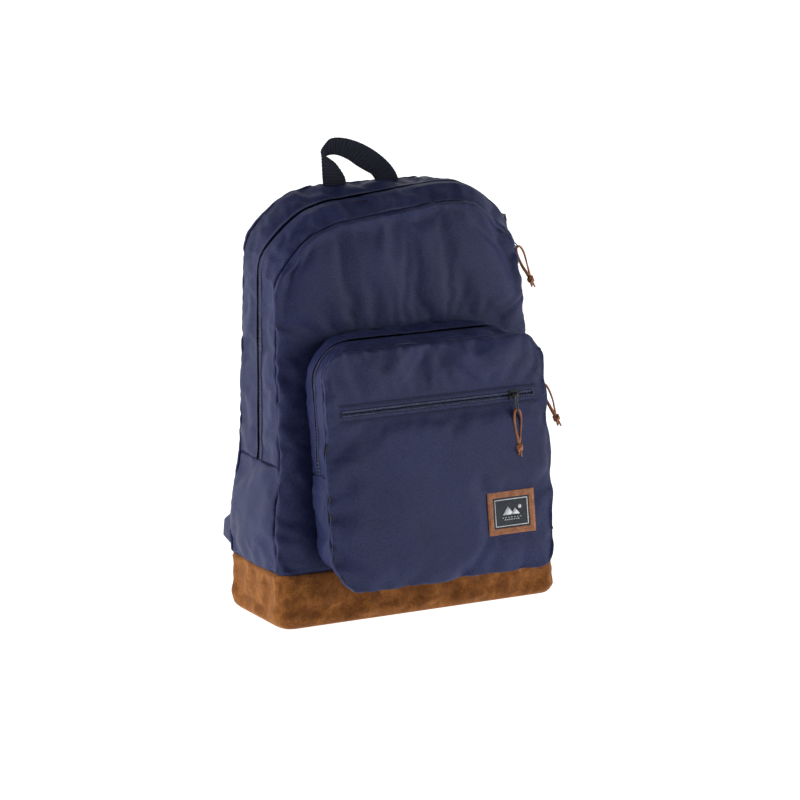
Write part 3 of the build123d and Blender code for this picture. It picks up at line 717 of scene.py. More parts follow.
def in_pocket(place, spare=0.0):
    """How far inside the pocket's outline a point of the front panel is, in millimetres."""
    flat = FRONT.inverted() @ place
    return min(POCKET_HALF - abs(flat.x), flat.z - POCKET_BOTTOM, POCKET_TOP - flat.z) + spare


def main_pins(c, place):
    if c.z < 1.5:
        return 1.0
    if c.z > 29.5 and ZIP_REAR - 0.1 < c.y < ZIP_FRONT + 0.1:
        return 1.0
    if c.y < 0.1:
        return 1.0
    if c.y > DEPTHS - 0.1 and in_pocket(place, 3) > 0:
        return 1.0
    if abs(c.y - SEAM_FRONT) < 0.1 or abs(c.y - SEAM_BACK) < 0.1:
        return 0.9
    if abs(c.z - 10) < 0.1:
        return 0.7
    return 0.0


def quiet_side(place):
    """1 on the left and over the top, down to 0 on the right, where the main sliders run."""
    return 1 - soft_step(60, 125, place.x) * soft_step(140, 165, place.z)


def puckers(place, amount):
    """Small gathers that run away from the front seam and fade within 20 mm of it."""
    x_gap, z_gap = half_width(place.z) - abs(place.x), 424 - place.z
    top = math.exp(-max(0, z_gap) / 9) * ripple((place.x, 0, place.z * 0.25), 11, 3)
    side = math.exp(-max(0, x_gap) / 8) * ripple((0, place.z, place.x * 0.25), 12, 5)
    return amount * (top + side)


def main_offset(c, place):
    """How far the cloth stands out from its filled shape."""
    out = 0.0
    if c.z < 1.5:
        return 0.0
    if c.y < 1.9:
        return -1.2 * quilt(place)
    for spot, size, amount in MAIN_DENTS:
        out += amount * math.exp(-((place - Vector(spot)).length / size) ** 2)
    calm = quiet_side(place)
    if c.z < 10:
        low = 1 - soft_step(2, 9, c.z)
        return out + calm * (1.3 * ripple((place.x, place.y, place.z * 2.2), 17, 8) * (0.4 + low))
    if c.y > SEAM_FRONT:
        hold = 1 - soft_step(-4, 6, in_pocket(place, 2))
        return (out + puckers(place, 3.0) + 1.2 * ripple(place, 60, 1)) * hold
    near_zip = soft_step(0.0, 2.5, min(abs(c.y - ZIP_REAR), abs(c.y - ZIP_FRONT))) if c.z > 30 else 1
    edge = 0.35 + 0.65 * near_zip
    return calm * edge * (out + 1.1 * ripple(place, 34, 2) + 0.5 * ripple(place, 13, 6))


def quilt(place):
    """The sewn channels of the padded back: 1 in a channel, 0 between them."""
    down = min(abs(place.z - z) for z in (120, 205, 290, 375))
    across = min(abs(place.x - x) for x in (-62, 62))
    return math.exp(-(down / 3.2) ** 2) + math.exp(-(across / 3.2) ** 2)


main = puffed(cloth_shell((COLUMNS, DEPTHS, ROWS), main_place, main_panel, MAIN_PANELS), main_pins, 3.5, 0.05,
              {"front_panel": 7, "back_panel": 2, "rear_gusset": 6, "front_gusset": 6, "side_panels": 7,
               "suede_base": 4, "zip_gap": 1}, MAIN_PANELS)
main = shaped(main, main_offset)
for v in main.verts:
    v.co.z = max(v.co.z, 0.0)


def lip_room(place):
    """Half of the gap between the folded lips over the main zip, in millimetres."""
    side = 1 - soft_step(345, 405, place.z)
    right = soft_step(60, 120, place.x)
    gap = 0.9 + side * (3.4 + 1.6 * ripple((0, 0, place.z), 38, 4))
    return gap + (5.2 - gap) * right


def lip(sign, across, room):
    """The steps of a folded lip: out over the coil, then back under itself."""
    return [
        lambda v, out: sign * across * 0.45 * (6 - room(v.co)) + 1.0 * out,
        lambda v, out: sign * across * 0.55 * (6 - room(v.co)) - 0.1 * out,
        lambda v, out: sign * across * 0.3 - 0.7 * out,
        lambda v, out: -sign * across * 2.0 - 0.5 * out,
    ]


main_parts = {}
for name, sign in (("rear_gusset", -1), ("front_gusset", 1), ("front_panel", 0), ("back_panel", 0),
                   ("side_panels", 0), ("suede_base", 0)):
    part = panel_piece(main, MAIN_PANELS.index(name))
    counts = part.verts.layers.float_vector["counts"]
    line = ZIP_REAR if sign < 0 else ZIP_FRONT
    hem_and_lip(part, lambda v: sign != 0 and abs(v[counts].y - line) < 0.02, lip(sign, ZIP_ACROSS, lip_room))
    main_parts[name] = part
main.free()

cloth_finish = (NAVY, LINING)
FOLD_START, FOLD_END = (0, -0.0227, 0.280), (0, -0.0153, 0.330)

for name, node in (("cloth_front", "front_panel"), ("cloth_front_gusset", "front_gusset")):
    made = piece(name, main_parts[node], cloth_finish, slot="navy_cloth", thick=1.0,
                 replaces=(f"{node}_lower", f"{node}_upper"))
    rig.blend(made, "bag", "mouth_flap", FOLD_START, FOLD_END)
piece("cloth_rear_gusset", main_parts["rear_gusset"], cloth_finish, "bag", "navy_cloth", ("rear_gusset",), 1.0)
piece("cloth_sides", main_parts["side_panels"], cloth_finish, "bag", "navy_cloth", ("side_panels",), 1.0)
piece("suede_base_shell", main_parts["suede_base"], (SUEDE, LINING), "bag", "suede",
      ("suede_boot", "suede_bottom"), 1.4)
back = piece("quilted_back", main_parts["back_panel"], cloth_finish, "bag", "navy_cloth",
             ("back_panel", "back_foam", "back_lining"), 1.0)
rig.padded(back, fill=0.5)


# ---- zips along an arch ----
MAIN_ZIP_LENGTH, POCKET_ZIP_LENGTH, SMALL_COIL_LENGTH = 880, 500, 224
# The rows where the coils of the main zip and the pocket's start.
MAIN_ZIP_LOW, P_ZIP_LOW = 28.5, 19


def along_arch(place, columns, low, rows, middle, across_way, s):
    """A point on a zip's middle line and the way out of the bag there: s runs 0 to 1 up the left side, over the
    top and down the right."""
    side, step = rows - low, 0.3
    walk = s * (2 * side + columns)
    if walk < side:
        i, k, step_i, step_k = 0, low + walk, 0, step
    elif walk < side + columns:
        i, k, step_i, step_k = walk - side, rows, step, 0
    else:
        i, k, step_i, step_k = columns, rows - (walk - side - columns), 0, -step
    ahead = place(min(i + step_i, columns), middle, min(k + step_k, rows))
    behind = place(max(i - step_i, 0), middle, min(k - step_k, rows))
    return place(i, middle, k), (ahead - behind).cross(across_way).normalized()


def main_arch(s, across, height):
    base, out = along_arch(main_place, COLUMNS, MAIN_ZIP_LOW, ROWS, 10, ZIP_ACROSS, s)
    sag = quiet_side(base) * 0.35 * (1.1 * ripple(base, 34, 2) + 0.5 * ripple(base, 13, 6))
    return base + ZIP_ACROSS * across + out * (height + sag)


def pocket_arch(s, across, height):
    base, out = along_arch(pocket_place, P_COLUMNS, P_ZIP_LOW, P_ROWS, 6, FRONT_ACROSS, s)
    return base + FRONT_ACROSS * across + out * height


def small_line(s, across, height):
    """The straight zip across the pocket's face; across is upwards."""
    return FRONT @ Vector(((s - 0.5) * 2 * (SMALL_ZIP_HALF + 11), -POCKET_DEPTH - height, SMALL_ZIP_Z + across))


def coil_half(path, length, side, pitch=2.8, sunk=-2.4):
    """One row of a coil: a low ridge with a rib for each turn."""
    turns = length / pitch

    def place(s, t):
        angle = (t - 0.1) * math.pi / 1.25
        rib = 0.5 + 0.5 * math.cos(2 * math.pi * turns * s + (math.pi if side > 0 else 0))
        height = sunk + (0.9 + 1.1 * rib) * math.sin(max(0.0, angle)) * 1.15
        return path(s, side * (0.25 + 2.9 * t), height)

    return sheet_of((int(turns * 6), 5), place)


def tape_half(path, length, side, reach=9.5):
    """Half of a zip's tape, lying under the coil."""
    return sheet_of((int(length / 5), 4), lambda s, t: path(s, side * (0.5 + (reach - 0.5) * t), -2.6 - 1.6 * t))


def facing(bm, way):
    """Turns a sheet over if it faces the other way."""
    bm.normal_update()
    bm.faces.ensure_lookup_table()
    if bm.faces[len(bm.faces) // 2].normal.dot(way) < 0:
        bmesh.ops.reverse_faces(bm, faces=bm.faces)
    return bm


P_FOLD = [FRONT @ Vector((0, -depth, z)) * MM for depth, z in ((30, 160), (49.3, 191.9))]

for name, path, length, body in (("main", main_arch, MAIN_ZIP_LENGTH, "mouth_flap"),
                                 ("pocket", pocket_arch, POCKET_ZIP_LENGTH, "pocket_flap")):
    way_out = path(0.5, 0, 1) - path(0.5, 0, 0)
    for part, side in (("", 1), ("_flap", -1)):
        for kind, bm, finish in (("coil", coil_half(path, length, side), COIL),
                                 ("tape", tape_half(path, length, side), TAPE)):
            made = piece(f"{name}_zip_{kind}{'_front' if part else '_rear'}", facing(bm, way_out), (finish,),
                         None if part else "bag", f"zip_{kind}", (f"{name}_zip_{kind}{part}",), 0.7)
            if part:
                fold = (FOLD_START, FOLD_END) if name == "main" else P_FOLD
                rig.blend(made, "bag", body, *fold)

for row, side, nodes in (("upper", 1, ("small_zip_coil",)), ("lower", -1, ())):
    bm = facing(coil_half(small_line, SMALL_COIL_LENGTH, side, sunk=-0.7), FACE_OUT)
    piece(f"small_coil_{row}_row", bm, (COIL,), "pocket_flap", "zip_coil", nodes, 0.6)
for row, side, nodes in (("upper", 1, ("small_zip_tape",)), ("lower", -1, ())):
    bm = sheet_of((60, 5), lambda s, t: small_line(-0.02 + 1.04 * s, side * (0.4 + 12 * t), -1.7))
    piece(f"small_tape_{row}_half", facing(bm, FACE_OUT), (TAPE,), "pocket_flap", "zip_tape", nodes, 0.7)


# ---- front pocket ----
def calm_face(flat):
    """0 over the small zip and the patch, where the cloth is held flat, up to 1 away from them."""
    zip_far = soft_step(9, 22, abs(flat.z - SMALL_ZIP_Z)) if abs(flat.x) < POCKET_HALF else 1
    px, pz = abs(flat.x - PATCH_AT[0]) - PATCH_SIZE[0] / 2, abs(flat.z - PATCH_AT[1]) - PATCH_SIZE[1] / 2
    return zip_far * soft_step(0, 12, max(px, pz))


def pocket_pins(c, place):
    flat = FRONT.inverted() @ place
    if c.y < 0.1:
        return 1.0
    if c.z > 18.5 and P_ZIP_REAR - 0.1 < c.y < P_ZIP_FRONT + 0.1:
        return 1.0
    if c.y > P_DEPTHS - 0.1 and calm_face(flat) < 0.15:
        return 1.0
    if abs(c.y - P_SEAM) < 0.1:
        return 0.92
    if abs(c.z - 19) < 0.1 and c.y < P_SEAM:
        return 0.8
    return 0.0


# The same on the pocket's face, with their places across and up it.
POCKET_DENTS = (
    ((-96, 262), 12, -1.6), ((-78, 268), 8, 1.0), ((-62, 270), 8, -2.2), ((-46, 271), 7, 1.2),
    ((-30, 270), 8, -2.2), ((-8, 271), 9, 1.0), ((14, 270), 9, -2.4), ((34, 272), 8, 1.2),
    ((56, 270), 9, -1.4), ((-112, 190), 14, -2.0), ((-104, 176), 10, 1.4), ((-110, 152), 13, -2.0),
    ((-100, 142), 10, 1.6), ((-114, 118), 12, -1.8), ((-104, 104), 11, 1.2), ((-50, 130), 40, 1.6),
    ((30, 150), 45, 2.2), ((-70, 70), 20, -1.2), ((30, 62), 22, 1.0),
)


def pocket_offset(c, place):
    flat = FRONT.inverted() @ place
    if c.y < 0.1:
        return 0.0
    if c.y > P_SEAM:
        calm = calm_face(flat)
        inside = 0.25 + 0.75 * soft_step(P_SEAM, P_DEPTHS, c.y)
        crease = -0.9 * math.exp(-((abs(flat.z - SMALL_ZIP_Z) - 8.4) / 1.5) ** 2) * (abs(flat.x) < 116)
        out = sum(a * math.exp(-((flat.x - x) ** 2 + (flat.z - z) ** 2) / size ** 2)
                  for (x, z), size, a in POCKET_DENTS)
        left = math.exp(-max(0, flat.x + 126) / 9) * ripple((0, flat.z, flat.x * 0.2), 10, 9)
        low = math.exp(-max(0, flat.z - 44) / 7) * ripple((flat.x, 0, 0), 13, 4)
        top = math.exp(-max(0, 286 - flat.z) / 9) * ripple((flat.x, 0, flat.z * 0.2), 9, 7)
        gathers = 2.4 * left + 1.6 * low + 2.6 * top
        return crease + inside * calm * (1.3 * out + gathers + 0.8 * ripple(flat, 45, 12))
    near = min(abs(c.y - P_ZIP_REAR), abs(c.y - P_ZIP_FRONT)) if c.z > 19 else 2
    low_right = soft_step(40, 110, flat.x) * (1 - soft_step(120, 158, flat.z))
    swell = 4 * math.sin(math.pi * min(1, c.y / P_SEAM)) * low_right
    right = 1 - soft_step(80, 112, flat.x) * soft_step(135, 160, flat.z)
    return swell + soft_step(0, 2, near) * right * (1.3 * ripple(place, 22, 11) + 0.6 * ripple(place, 9, 3))


def pocket_room(place):
    """Half of the gap between the lips over the pocket's zip."""
    flat = FRONT.inverted() @ place
    left = 1 - soft_step(-118, -70, flat.x)
    right = soft_step(70, 110, flat.x)
    gap = 0.9 + left * (3.6 + 1.3 * ripple((0, 0, flat.z), 26, 2))
    return gap + (5.2 - gap) * right


pocket = puffed(cloth_shell((P_COLUMNS, P_DEPTHS, P_ROWS), pocket_place, pocket_panel, POCKET_PANELS),
                pocket_pins, 3.5, 0.05, {"pocket_face": 6, "pocket_gusset_front": 4, "pocket_gusset_rear": 4,
                                         "pocket_gusset_lower": 5}, POCKET_PANELS)
pocket = shaped(pocket, pocket_offset)
POCKET_UP = FRONT.to_3x3() @ Vector((0, 0, 1))


def small_lip(v, out):
    """The hem over the small zip reaches to 3.4 mm from its middle, and turns under."""
    way = 1 if (FRONT.inverted() @ v.co).z < SMALL_ZIP_Z else -1
    return POCKET_UP * way * 2.1 + 0.35 * out


for name, sign, nodes in (
    ("pocket_gusset_rear", -1, ("pocket_gusset_rear",)), ("pocket_gusset_front", 1, ("pocket_gusset_front",)),
    ("pocket_gusset_lower", 0, ("pocket_gusset_lower",)),
    ("pocket_face", 0, ("pocket_face_lower", "pocket_face_middle", "pocket_face_upper")),
):
    part = panel_piece(pocket, POCKET_PANELS.index(name))
    counts = part.verts.layers.float_vector["counts"]
    line = P_ZIP_REAR if sign < 0 else P_ZIP_FRONT
    if name == "pocket_face":
        hem_and_lip(part, lambda v: v[counts].y > P_DEPTHS - 0.05,
                    [small_lip, lambda v, out: -1.2 * out])
    else:
        hem_and_lip(part, lambda v: sign != 0 and abs(v[counts].y - line) < 0.02,
                    lip(sign, FRONT_ACROSS, pocket_room))
    fixed = name == "pocket_gusset_rear"
    made = piece(f"cloth_{name}", part, cloth_finish, "bag" if fixed else None, "navy_cloth", nodes, 1.0)
    if not fixed:
        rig.blend(made, "bag", "pocket_flap", *P_FOLD)
pocket.free()


# ---- stitching ----
def stitched(name, places, size, finish, body):
    """Stitches as small round-ended beads; each place is (middle, along, outwards)."""
    bm = bmesh.new()
    length, width = size
    for middle, along, out in places:
        along, out = along.normalized(), out.normalized()
        turn = Matrix((along, out.cross(along), out)).transposed().to_4x4()
        shape = Matrix.Translation(middle) @ turn @ Matrix.Diagonal((length / 2, width / 2, width / 2, 1))
        bmesh.ops.create_uvsphere(bm, u_segments=6, v_segments=4, radius=1, matrix=shape)
    piece(name, bm, (finish,), body)


FACE_X = Vector((1, 0, 0))
for name, height in (("small_zip_stitches_upper", 8.2), ("small_zip_stitches_lower", -8.2)):
    row = [(FRONT @ Vector((-112 + 3.3 * n, -POCKET_DEPTH - 0.15, SMALL_ZIP_Z + height)), FACE_X, FACE_OUT)
           for n in range(69)]
    stitched(name, row, (2.3, 1.1), NAVY_THREAD, "pocket_flap")


# ---- leather patch and its label ----
def patch_point(x, z, out):
    return FRONT @ Vector((PATCH_AT[0] + x, -POCKET_DEPTH - out, PATCH_AT[1] + z))


def make_patch():
    bm = bmesh.new()
    bmesh.ops.create_grid(bm, x_segments=1, y_segments=1, size=1)
    for v in bm.verts:
        v.co = Vector((v.co.x * PATCH_SIZE[0] / 2, v.co.y * PATCH_SIZE[1] / 2, 0))
    inner = bmesh.ops.inset_region(bm, faces=bm.faces[:], thickness=PATCH_BORDER, use_even_offset=True,
                                     use_boundary=True)
    middle = [f for f in bm.faces if f not in inner["faces"]]
    bmesh.ops.delete(bm, geom=middle, context="FACES")
    bmesh.ops.subdivide_edges(bm, edges=[e for e in bm.edges if e.calc_length() > 12], cuts=11, use_grid_fill=True)
    walls = bmesh.ops.extrude_face_region(bm, geom=bm.faces[:])["geom"]
    bmesh.ops.translate(bm, vec=(0, 0, 1.7), verts=[g for g in walls if isinstance(g, bmesh.types.BMVert)])
    bmesh.ops.recalc_face_normals(bm, faces=bm.faces)
    rims = [e for e in bm.edges if e.calc_face_angle(0) > 0.8 and min(v.co.z for v in e.verts) > 1]
    bmesh.ops.bevel(bm, geom=rims, offset=0.5, affect="EDGES", segments=3, profile=0.5, material=-1)
    for v in bm.verts:
        lift = 0.25 * ripple((v.co.x, v.co.y, 0), 14, 3) if v.co.z > 1 else 0
        v.co = patch_point(v.co.x, v.co.y, v.co.z + lift - 0.2)
    bmesh.ops.recalc_face_normals(bm, faces=bm.faces)
    return bm


piece("patch_frame", make_patch(), (LEATHER,), "bag", "veg_leather", ("leather_patch",))

patch_row = []
half_x, half_z = (size / 2 - PATCH_SEAM for size in PATCH_SIZE)
round_trip = [(-half_x, -half_z), (half_x, -half_z), (half_x, half_z), (-half_x, half_z), (-half_x, -half_z)]
for (x0, z0), (x1, z1) in zip(round_trip, round_trip[1:]):
    count = int(math.hypot(x1 - x0, z1 - z0) / 2.9)
    for n in range(count):
        t = (n + 0.5) / count
        x, z = x0 + (x1 - x0) * t, z0 + (z1 - z0) * t
        along = (patch_point(x1, z1, 0) - patch_point(x0, z0, 0)).normalized()
        slant = along + FACE_OUT.cross(along) * 0.9
        patch_row.append((patch_point(x, z, 1.65), slant, FACE_OUT))
stitched("patch_stitches", patch_row, (2.6, 0.75), TAN_THREAD, "bag")

label_half = [size / 2 - PATCH_BORDER + LABEL_UNDER for size in PATCH_SIZE]
label = sheet_of((30, 24), lambda s, t: patch_point((2 * s - 1) * label_half[0], (2 * t - 1) * label_half[1],
                                                    0.9 + 0.12 * ripple((s * 43, t * 32, 0), 9, 2)))
facing(label, FACE_OUT)
piece("label_ground", label, (LABEL,), "bag", "woven_label", ("woven_label",), 0.6)


def label_mark(bm, segments, radius, middle, stretch, turn=0.0):
    """A flat figure on the label."""
    place = Matrix.Translation((*middle, 0)) @ Matrix.Diagonal((*stretch, 1, 1)) @ Matrix.Rotation(turn, 4, "Z")
    return bmesh.ops.create_circle(bm, cap_ends=True, segments=segments, radius=radius, matrix=place)["verts"]


def make_figure():
    """A plain woven border, two peaks, a sun and two lines of dashes."""
    bm = bmesh.new()
    bmesh.ops.create_grid(bm, x_segments=1, y_segments=1, size=1)
    for v in bm.verts:
        v.co = Vector((v.co.x * (label_half[0] - 2.2), v.co.y * (label_half[1] - 2.2), 0))
    ring = bmesh.ops.inset_region(bm, faces=bm.faces[:], thickness=0.8, use_even_offset=True, use_boundary=True)
    bmesh.ops.delete(bm, geom=[f for f in bm.faces if f not in ring["faces"]], context="FACES")
    label_mark(bm, 3, 6.0, (-4, 0.6), (1.3, 1))
    label_mark(bm, 3, 4.4, (4.4, -0.2), (1.4, 1))
    label_mark(bm, 14, 2.0, (10, 5.2), (1, 1))
    for row, half in ((-5.2, 12), (-7.4, 9)):
        for n in range(7):
            label_mark(bm, 4, 1, ((n - 3) * half / 3.4, row), (1.1, 0.5), math.pi / 4)
    walls = bmesh.ops.extrude_face_region(bm, geom=bm.faces[:])["geom"]
    bmesh.ops.translate(bm, vec=(0, 0, 0.35), verts=[g for g in walls if isinstance(g, bmesh.types.BMVert)])
    for v in bm.verts:
        v.co = patch_point(v.co.x, v.co.y, 0.85 + v.co.z)
    bmesh.ops.recalc_face_normals(bm, faces=bm.faces)
    return bm


piece("label_figure", make_figure(), (LABEL_FIGURE,), "bag", "woven_label")


# ---- webbing bands ----
def band(name, points, halves, body, replaces=(), cells=(70, 36), ribs=9, thick=1.9, bars=0):
    """A band along points, with ribs along it and bars across it; each half is the vector from its middle
    to its edge there."""
    def place(s, t):
        middle, half = along_points(points, s), along_points(halves, s)
        ahead = along_points(points, min(1, s + 0.01)) - along_points(points, max(0, s - 0.01))
        out = half.cross(ahead).normalized()
        rib = 0.22 * abs(math.sin(math.pi * ribs * t)) if 0.04 < t < 0.96 else 0
        rib += 0.5 * abs(math.sin(math.pi * bars * (s + 0.012 * t)))
        return middle + half * (2 * t - 1) + out * rib

    return piece(name, sheet_of(cells, place), (WEBBING,), body, "webbing", replaces, thick, offset=0.0)


HANDLE_Y = 57
# The middle of the handle's band and half of its width, from the left foot over to the right one. Its depth
# is measured from the back seam.
HANDLE_LINE = (
    (-39.9, 0, 439.5), (-41.3, 0, 448.9), (-46.1, 0, 462.1), (-49.8, 2, 469.5), (-51.6, 4, 473.2),
    (-47.7, 5, 476.6), (-40.3, 5, 479.8), (-30.0, 4, 478.9), (-17.1, 3, 474.1), (-4.9, 2, 466.9),
    (6.5, 1, 459.2), (14.8, 0, 452.4), (20.2, 0, 445.1), (24.7, 0, 436.0), (26.8, 0, 438.5),
)
HANDLE_SIDE = (
    (13.3, 0, -0.9), (12.7, 0, -0.8), (9.1, 1, -1.7), (6.0, 4, -3.1), (4.1, 5, -4.1), (2.7, 4, -6.3),
    (1.7, 2, -8.7), (-1.2, 2, -9.5), (-4.5, 2, -9.5), (-7.2, 2, -9.2), (-9.0, 2, -7.4), (-10.8, 1, -4.5),
    (-12.0, 0, -3.1), (-12.3, 0, -1.9), (-12.6, 0, -0.8),
)
band("handle_webbing", [(x, HANDLE_Y + y, z) for x, y, z in HANDLE_LINE], HANDLE_SIDE, "handle", ("grab_handle",),
     cells=(320, 12), ribs=0, thick=2.0, bars=46)


# ---- shoulder straps ----
STRAP = Matrix.Translation((0, 66.4, 404)) @ Matrix.Rotation(math.radians(4), 4, "X")
# The loop of webbing round the buckle's bar: depth and height in the strap's frame.
BUCKLE_X = 97
BUCKLE_LOOP = ((4.5, -228), (8.2, -233), (8.6, -240), (4.5, -243.9), (0.6, -240), (0.9, -233), (4.0, -228))
# A strap's middle line: height in the strap's frame and distance from the bag's middle.
STRAP_LINE = ((-232, 97), (-175, 92), (-130, 80), (-100, 66), (-60, 53), (-30, 49.5), (30, 46))


def strap_middle(z):
    """X of a strap's middle line at a height in its frame, and its slope."""
    below, here, above = (read_off(STRAP_LINE, max(q, STRAP_LINE[0][0])) for q in (z - 6, z, z + 6))
    return here, (below - above) / 12


for side, hand in ((-1, "left"), (1, "right")):
    def strap_place(s, t, side=side):
        z = -1 - s * 230.5
        x, slope = strap_middle(z)
        half = 28.2 * math.sqrt(1 + slope * slope)
        return Vector((side * (x + (2 * t - 1) * half), 0, z))

    bm = cut_cube((44, 12, 1))
    for v in bm.verts:
        s, t, top = v.co.x / 44, v.co.y / 12, v.co.z
        flat = strap_place(s, t)
        edge = min(t, 1 - t) * 56
        end = min(s, 1 - s) * 230
        fill = (1 - math.exp(-edge / 7)) * (1 - math.exp(-(end + 2) / 7))
        quilt_line = 1.5 * math.exp(-((edge - 9) / 2.2) ** 2)
        ridge = fill * 3.9 + 0.6 + 0.25 * ripple(flat, 18, 5) - quilt_line * fill
        v.co = STRAP @ (flat + Vector((0, 4.5 + (ridge if top > 0.5 else -min(ridge, 4.3)), 0)))
    bmesh.ops.recalc_face_normals(bm, faces=bm.faces)
    strap = piece(f"padded_strap_{hand}", bm, (NAVY,), f"strap_{hand}", "navy_cloth",
                  (f"shoulder_strap_{hand}",), rounds=2)
    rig.padded(strap, fill=0.7)
    band(f"loop_webbing_{hand}", [STRAP @ Vector((side * BUCKLE_X, y, z)) for y, z in BUCKLE_LOOP],
         [Vector((11, 0, 0))] * len(BUCKLE_LOOP), f"strap_{hand}", (f"buckle_loop_{hand}",), cells=(36, 28), ribs=7, thick=1.1)
    tail = [(side * 145, 86.5, 74), (side * 137, 87, 90), (side * 120, 87.2, 105), (side * 106, 87.4, 122),
            (side * 98.5, 87.4, 136), (side * 97, 89.6, 143), (side * 97, 89.8, 150)]
    made = band(f"lower_webbing_{hand}", tail, [Vector((9.6, 0, side * 4.6)), Vector((9.2, 0, side * 4.6)),
                Vector((8.6, 0, side * 5.2)), Vector((9, 0, side * 4.4)), Vector((9.8, 0, side * 1.2)),
                Vector((10, 0, 0)), Vector((10, 0, 0))], None, (f"adjusting_webbing_{hand}",), cells=(50, 28),
                ribs=7, thick=1.3)
    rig.blend(made, "bag", f"strap_{hand}", (side * 0.140, 0.0865, 0.080), (side * 0.097, 0.0874, 0.134))

yoke = sheet_of((60, 14), lambda s, t: Vector(((s - 0.5) * 188, 65.1 + 0.35 * ripple((s * 188, 0, t * 38), 12, 4)
                                              - 0.5 * math.exp(-min(t, 1 - t) * 38 / 1.2), 387 + t * 38)))
piece("yoke_cloth", facing(yoke, Vector((0, 1, 0))), (NAVY,), "bag", "navy_cloth", ("strap_yoke",), 1.0)


def anchor_tab(side, bm):
    """A folded triangle of cloth sewn into the back seam, its point turned towards the webbing."""
    low, high = Vector((60, 58, 0)), Vector((60, 104, 0))
    tip_low, tip_high = Vector((92, 68, 0)), Vector((89, 86, 0))

    def place(s, t):
        near, far = low.lerp(high, t), tip_low.lerp(tip_high, t)
        p = near.lerp(far, s)
        bow = 1.6 * math.sin(math.pi * s) * math.sin(math.pi * t)
        return Vector((side * (156 + bow + 0.4 * ripple((p.x, p.y, 0), 10, 6)), p.x, p.y))

    return sheet_of((14, 18), place, bm)


tabs = anchor_tab(1, anchor_tab(-1, bmesh.new()))
piece("tab_cloth", tabs, (NAVY,), "bag", "navy_cloth", ("anchor_tabs",), 2.2, 1, 0.0)


# ---- sliders, pullers and leather pulls ----
def moved(x=0.0, y=0.0, z=0.0):
    return Matrix.Translation((x, y, z))


def turned(degrees, axis):
    return Matrix.Rotation(math.radians(degrees), 4, axis)


ARC_TOP = HEIGHT / math.cos(ZIP_LEAN)
ARC_START = ARC_TOP - CORNER * (1 - math.sin(SIDE_LEAN))
# Where a wire puller hangs in its slider, the small slider's bar, and a puller's length.
HOLE_X, BAR_X, PULLER = 3.7, 5.8, 19
# From one slider of a zip to the next.
STEP = 18
LACE_WIDTH = 4.0


def on_main_side(z):
    return ZIP @ moved(half_width(z), 0, z) @ Matrix.Rotation(-SIDE_LEAN, 4, "Y")


def on_main_corner(angle):
    arc_x = half_width(ARC_START) - CORNER * math.cos(SIDE_LEAN)
    arc_z = ARC_START - CORNER * math.sin(SIDE_LEAN)
    turn = Matrix.Rotation(-SIDE_LEAN - math.radians(angle), 4, "Y")
    return ZIP @ moved(arc_x, 0, arc_z) @ turn @ moved(CORNER, 0, 0)


def on_pocket_side(z):
    return FRONT @ moved(0, -POCKET_ZIP_DEPTH, 0) @ moved(122, 0, z)


def lace_frame(place, swing, lift, lean):
    wire = moved(HOLE_X) @ turned(-lift, "Y") @ turned(swing, "X")
    low = wire @ Vector((0, 0, -PULLER))
    return place @ moved(*low) @ turned(-lean, "Y")


MAIN_LOWER_Z = ARC_START - (STEP - CORNER * math.radians(10))
POCKET_UPPER_Z = POCKET_TOP - 46 - POCKET_ZIP_DEPTH * POCKET_SINK
small_place = FRONT @ moved(89, -POCKET_DEPTH, SMALL_ZIP_Z) @ turned(-90, "Z")
LACES = {
    "main_lace_upper": (lace_frame(on_main_corner(10), 20, 8, 3), "main_pull_upper"),
    "main_lace_lower": (lace_frame(on_main_side(MAIN_LOWER_Z), -20, 38, 20), "main_pull_lower"),
    "pocket_lace_upper": (lace_frame(on_pocket_side(POCKET_UPPER_Z), 20, 16, 12), "pocket_pull_upper"),
    "pocket_lace_lower": (lace_frame(on_pocket_side(POCKET_UPPER_Z - STEP), -20, 76, 20), "pocket_pull_lower"),
    "small_zip_lace": (small_place @ moved(BAR_X, 0, 2.3 - PULLER) @ turned(90, "Z"), "small_pull"),
}


def thong(bm, points, halves, cells):
    """A flat strip of leather along points."""
    return sheet_of(cells, lambda s, t: along_points(points, s) + along_points(halves, s) * (2 * t - 1), bm)


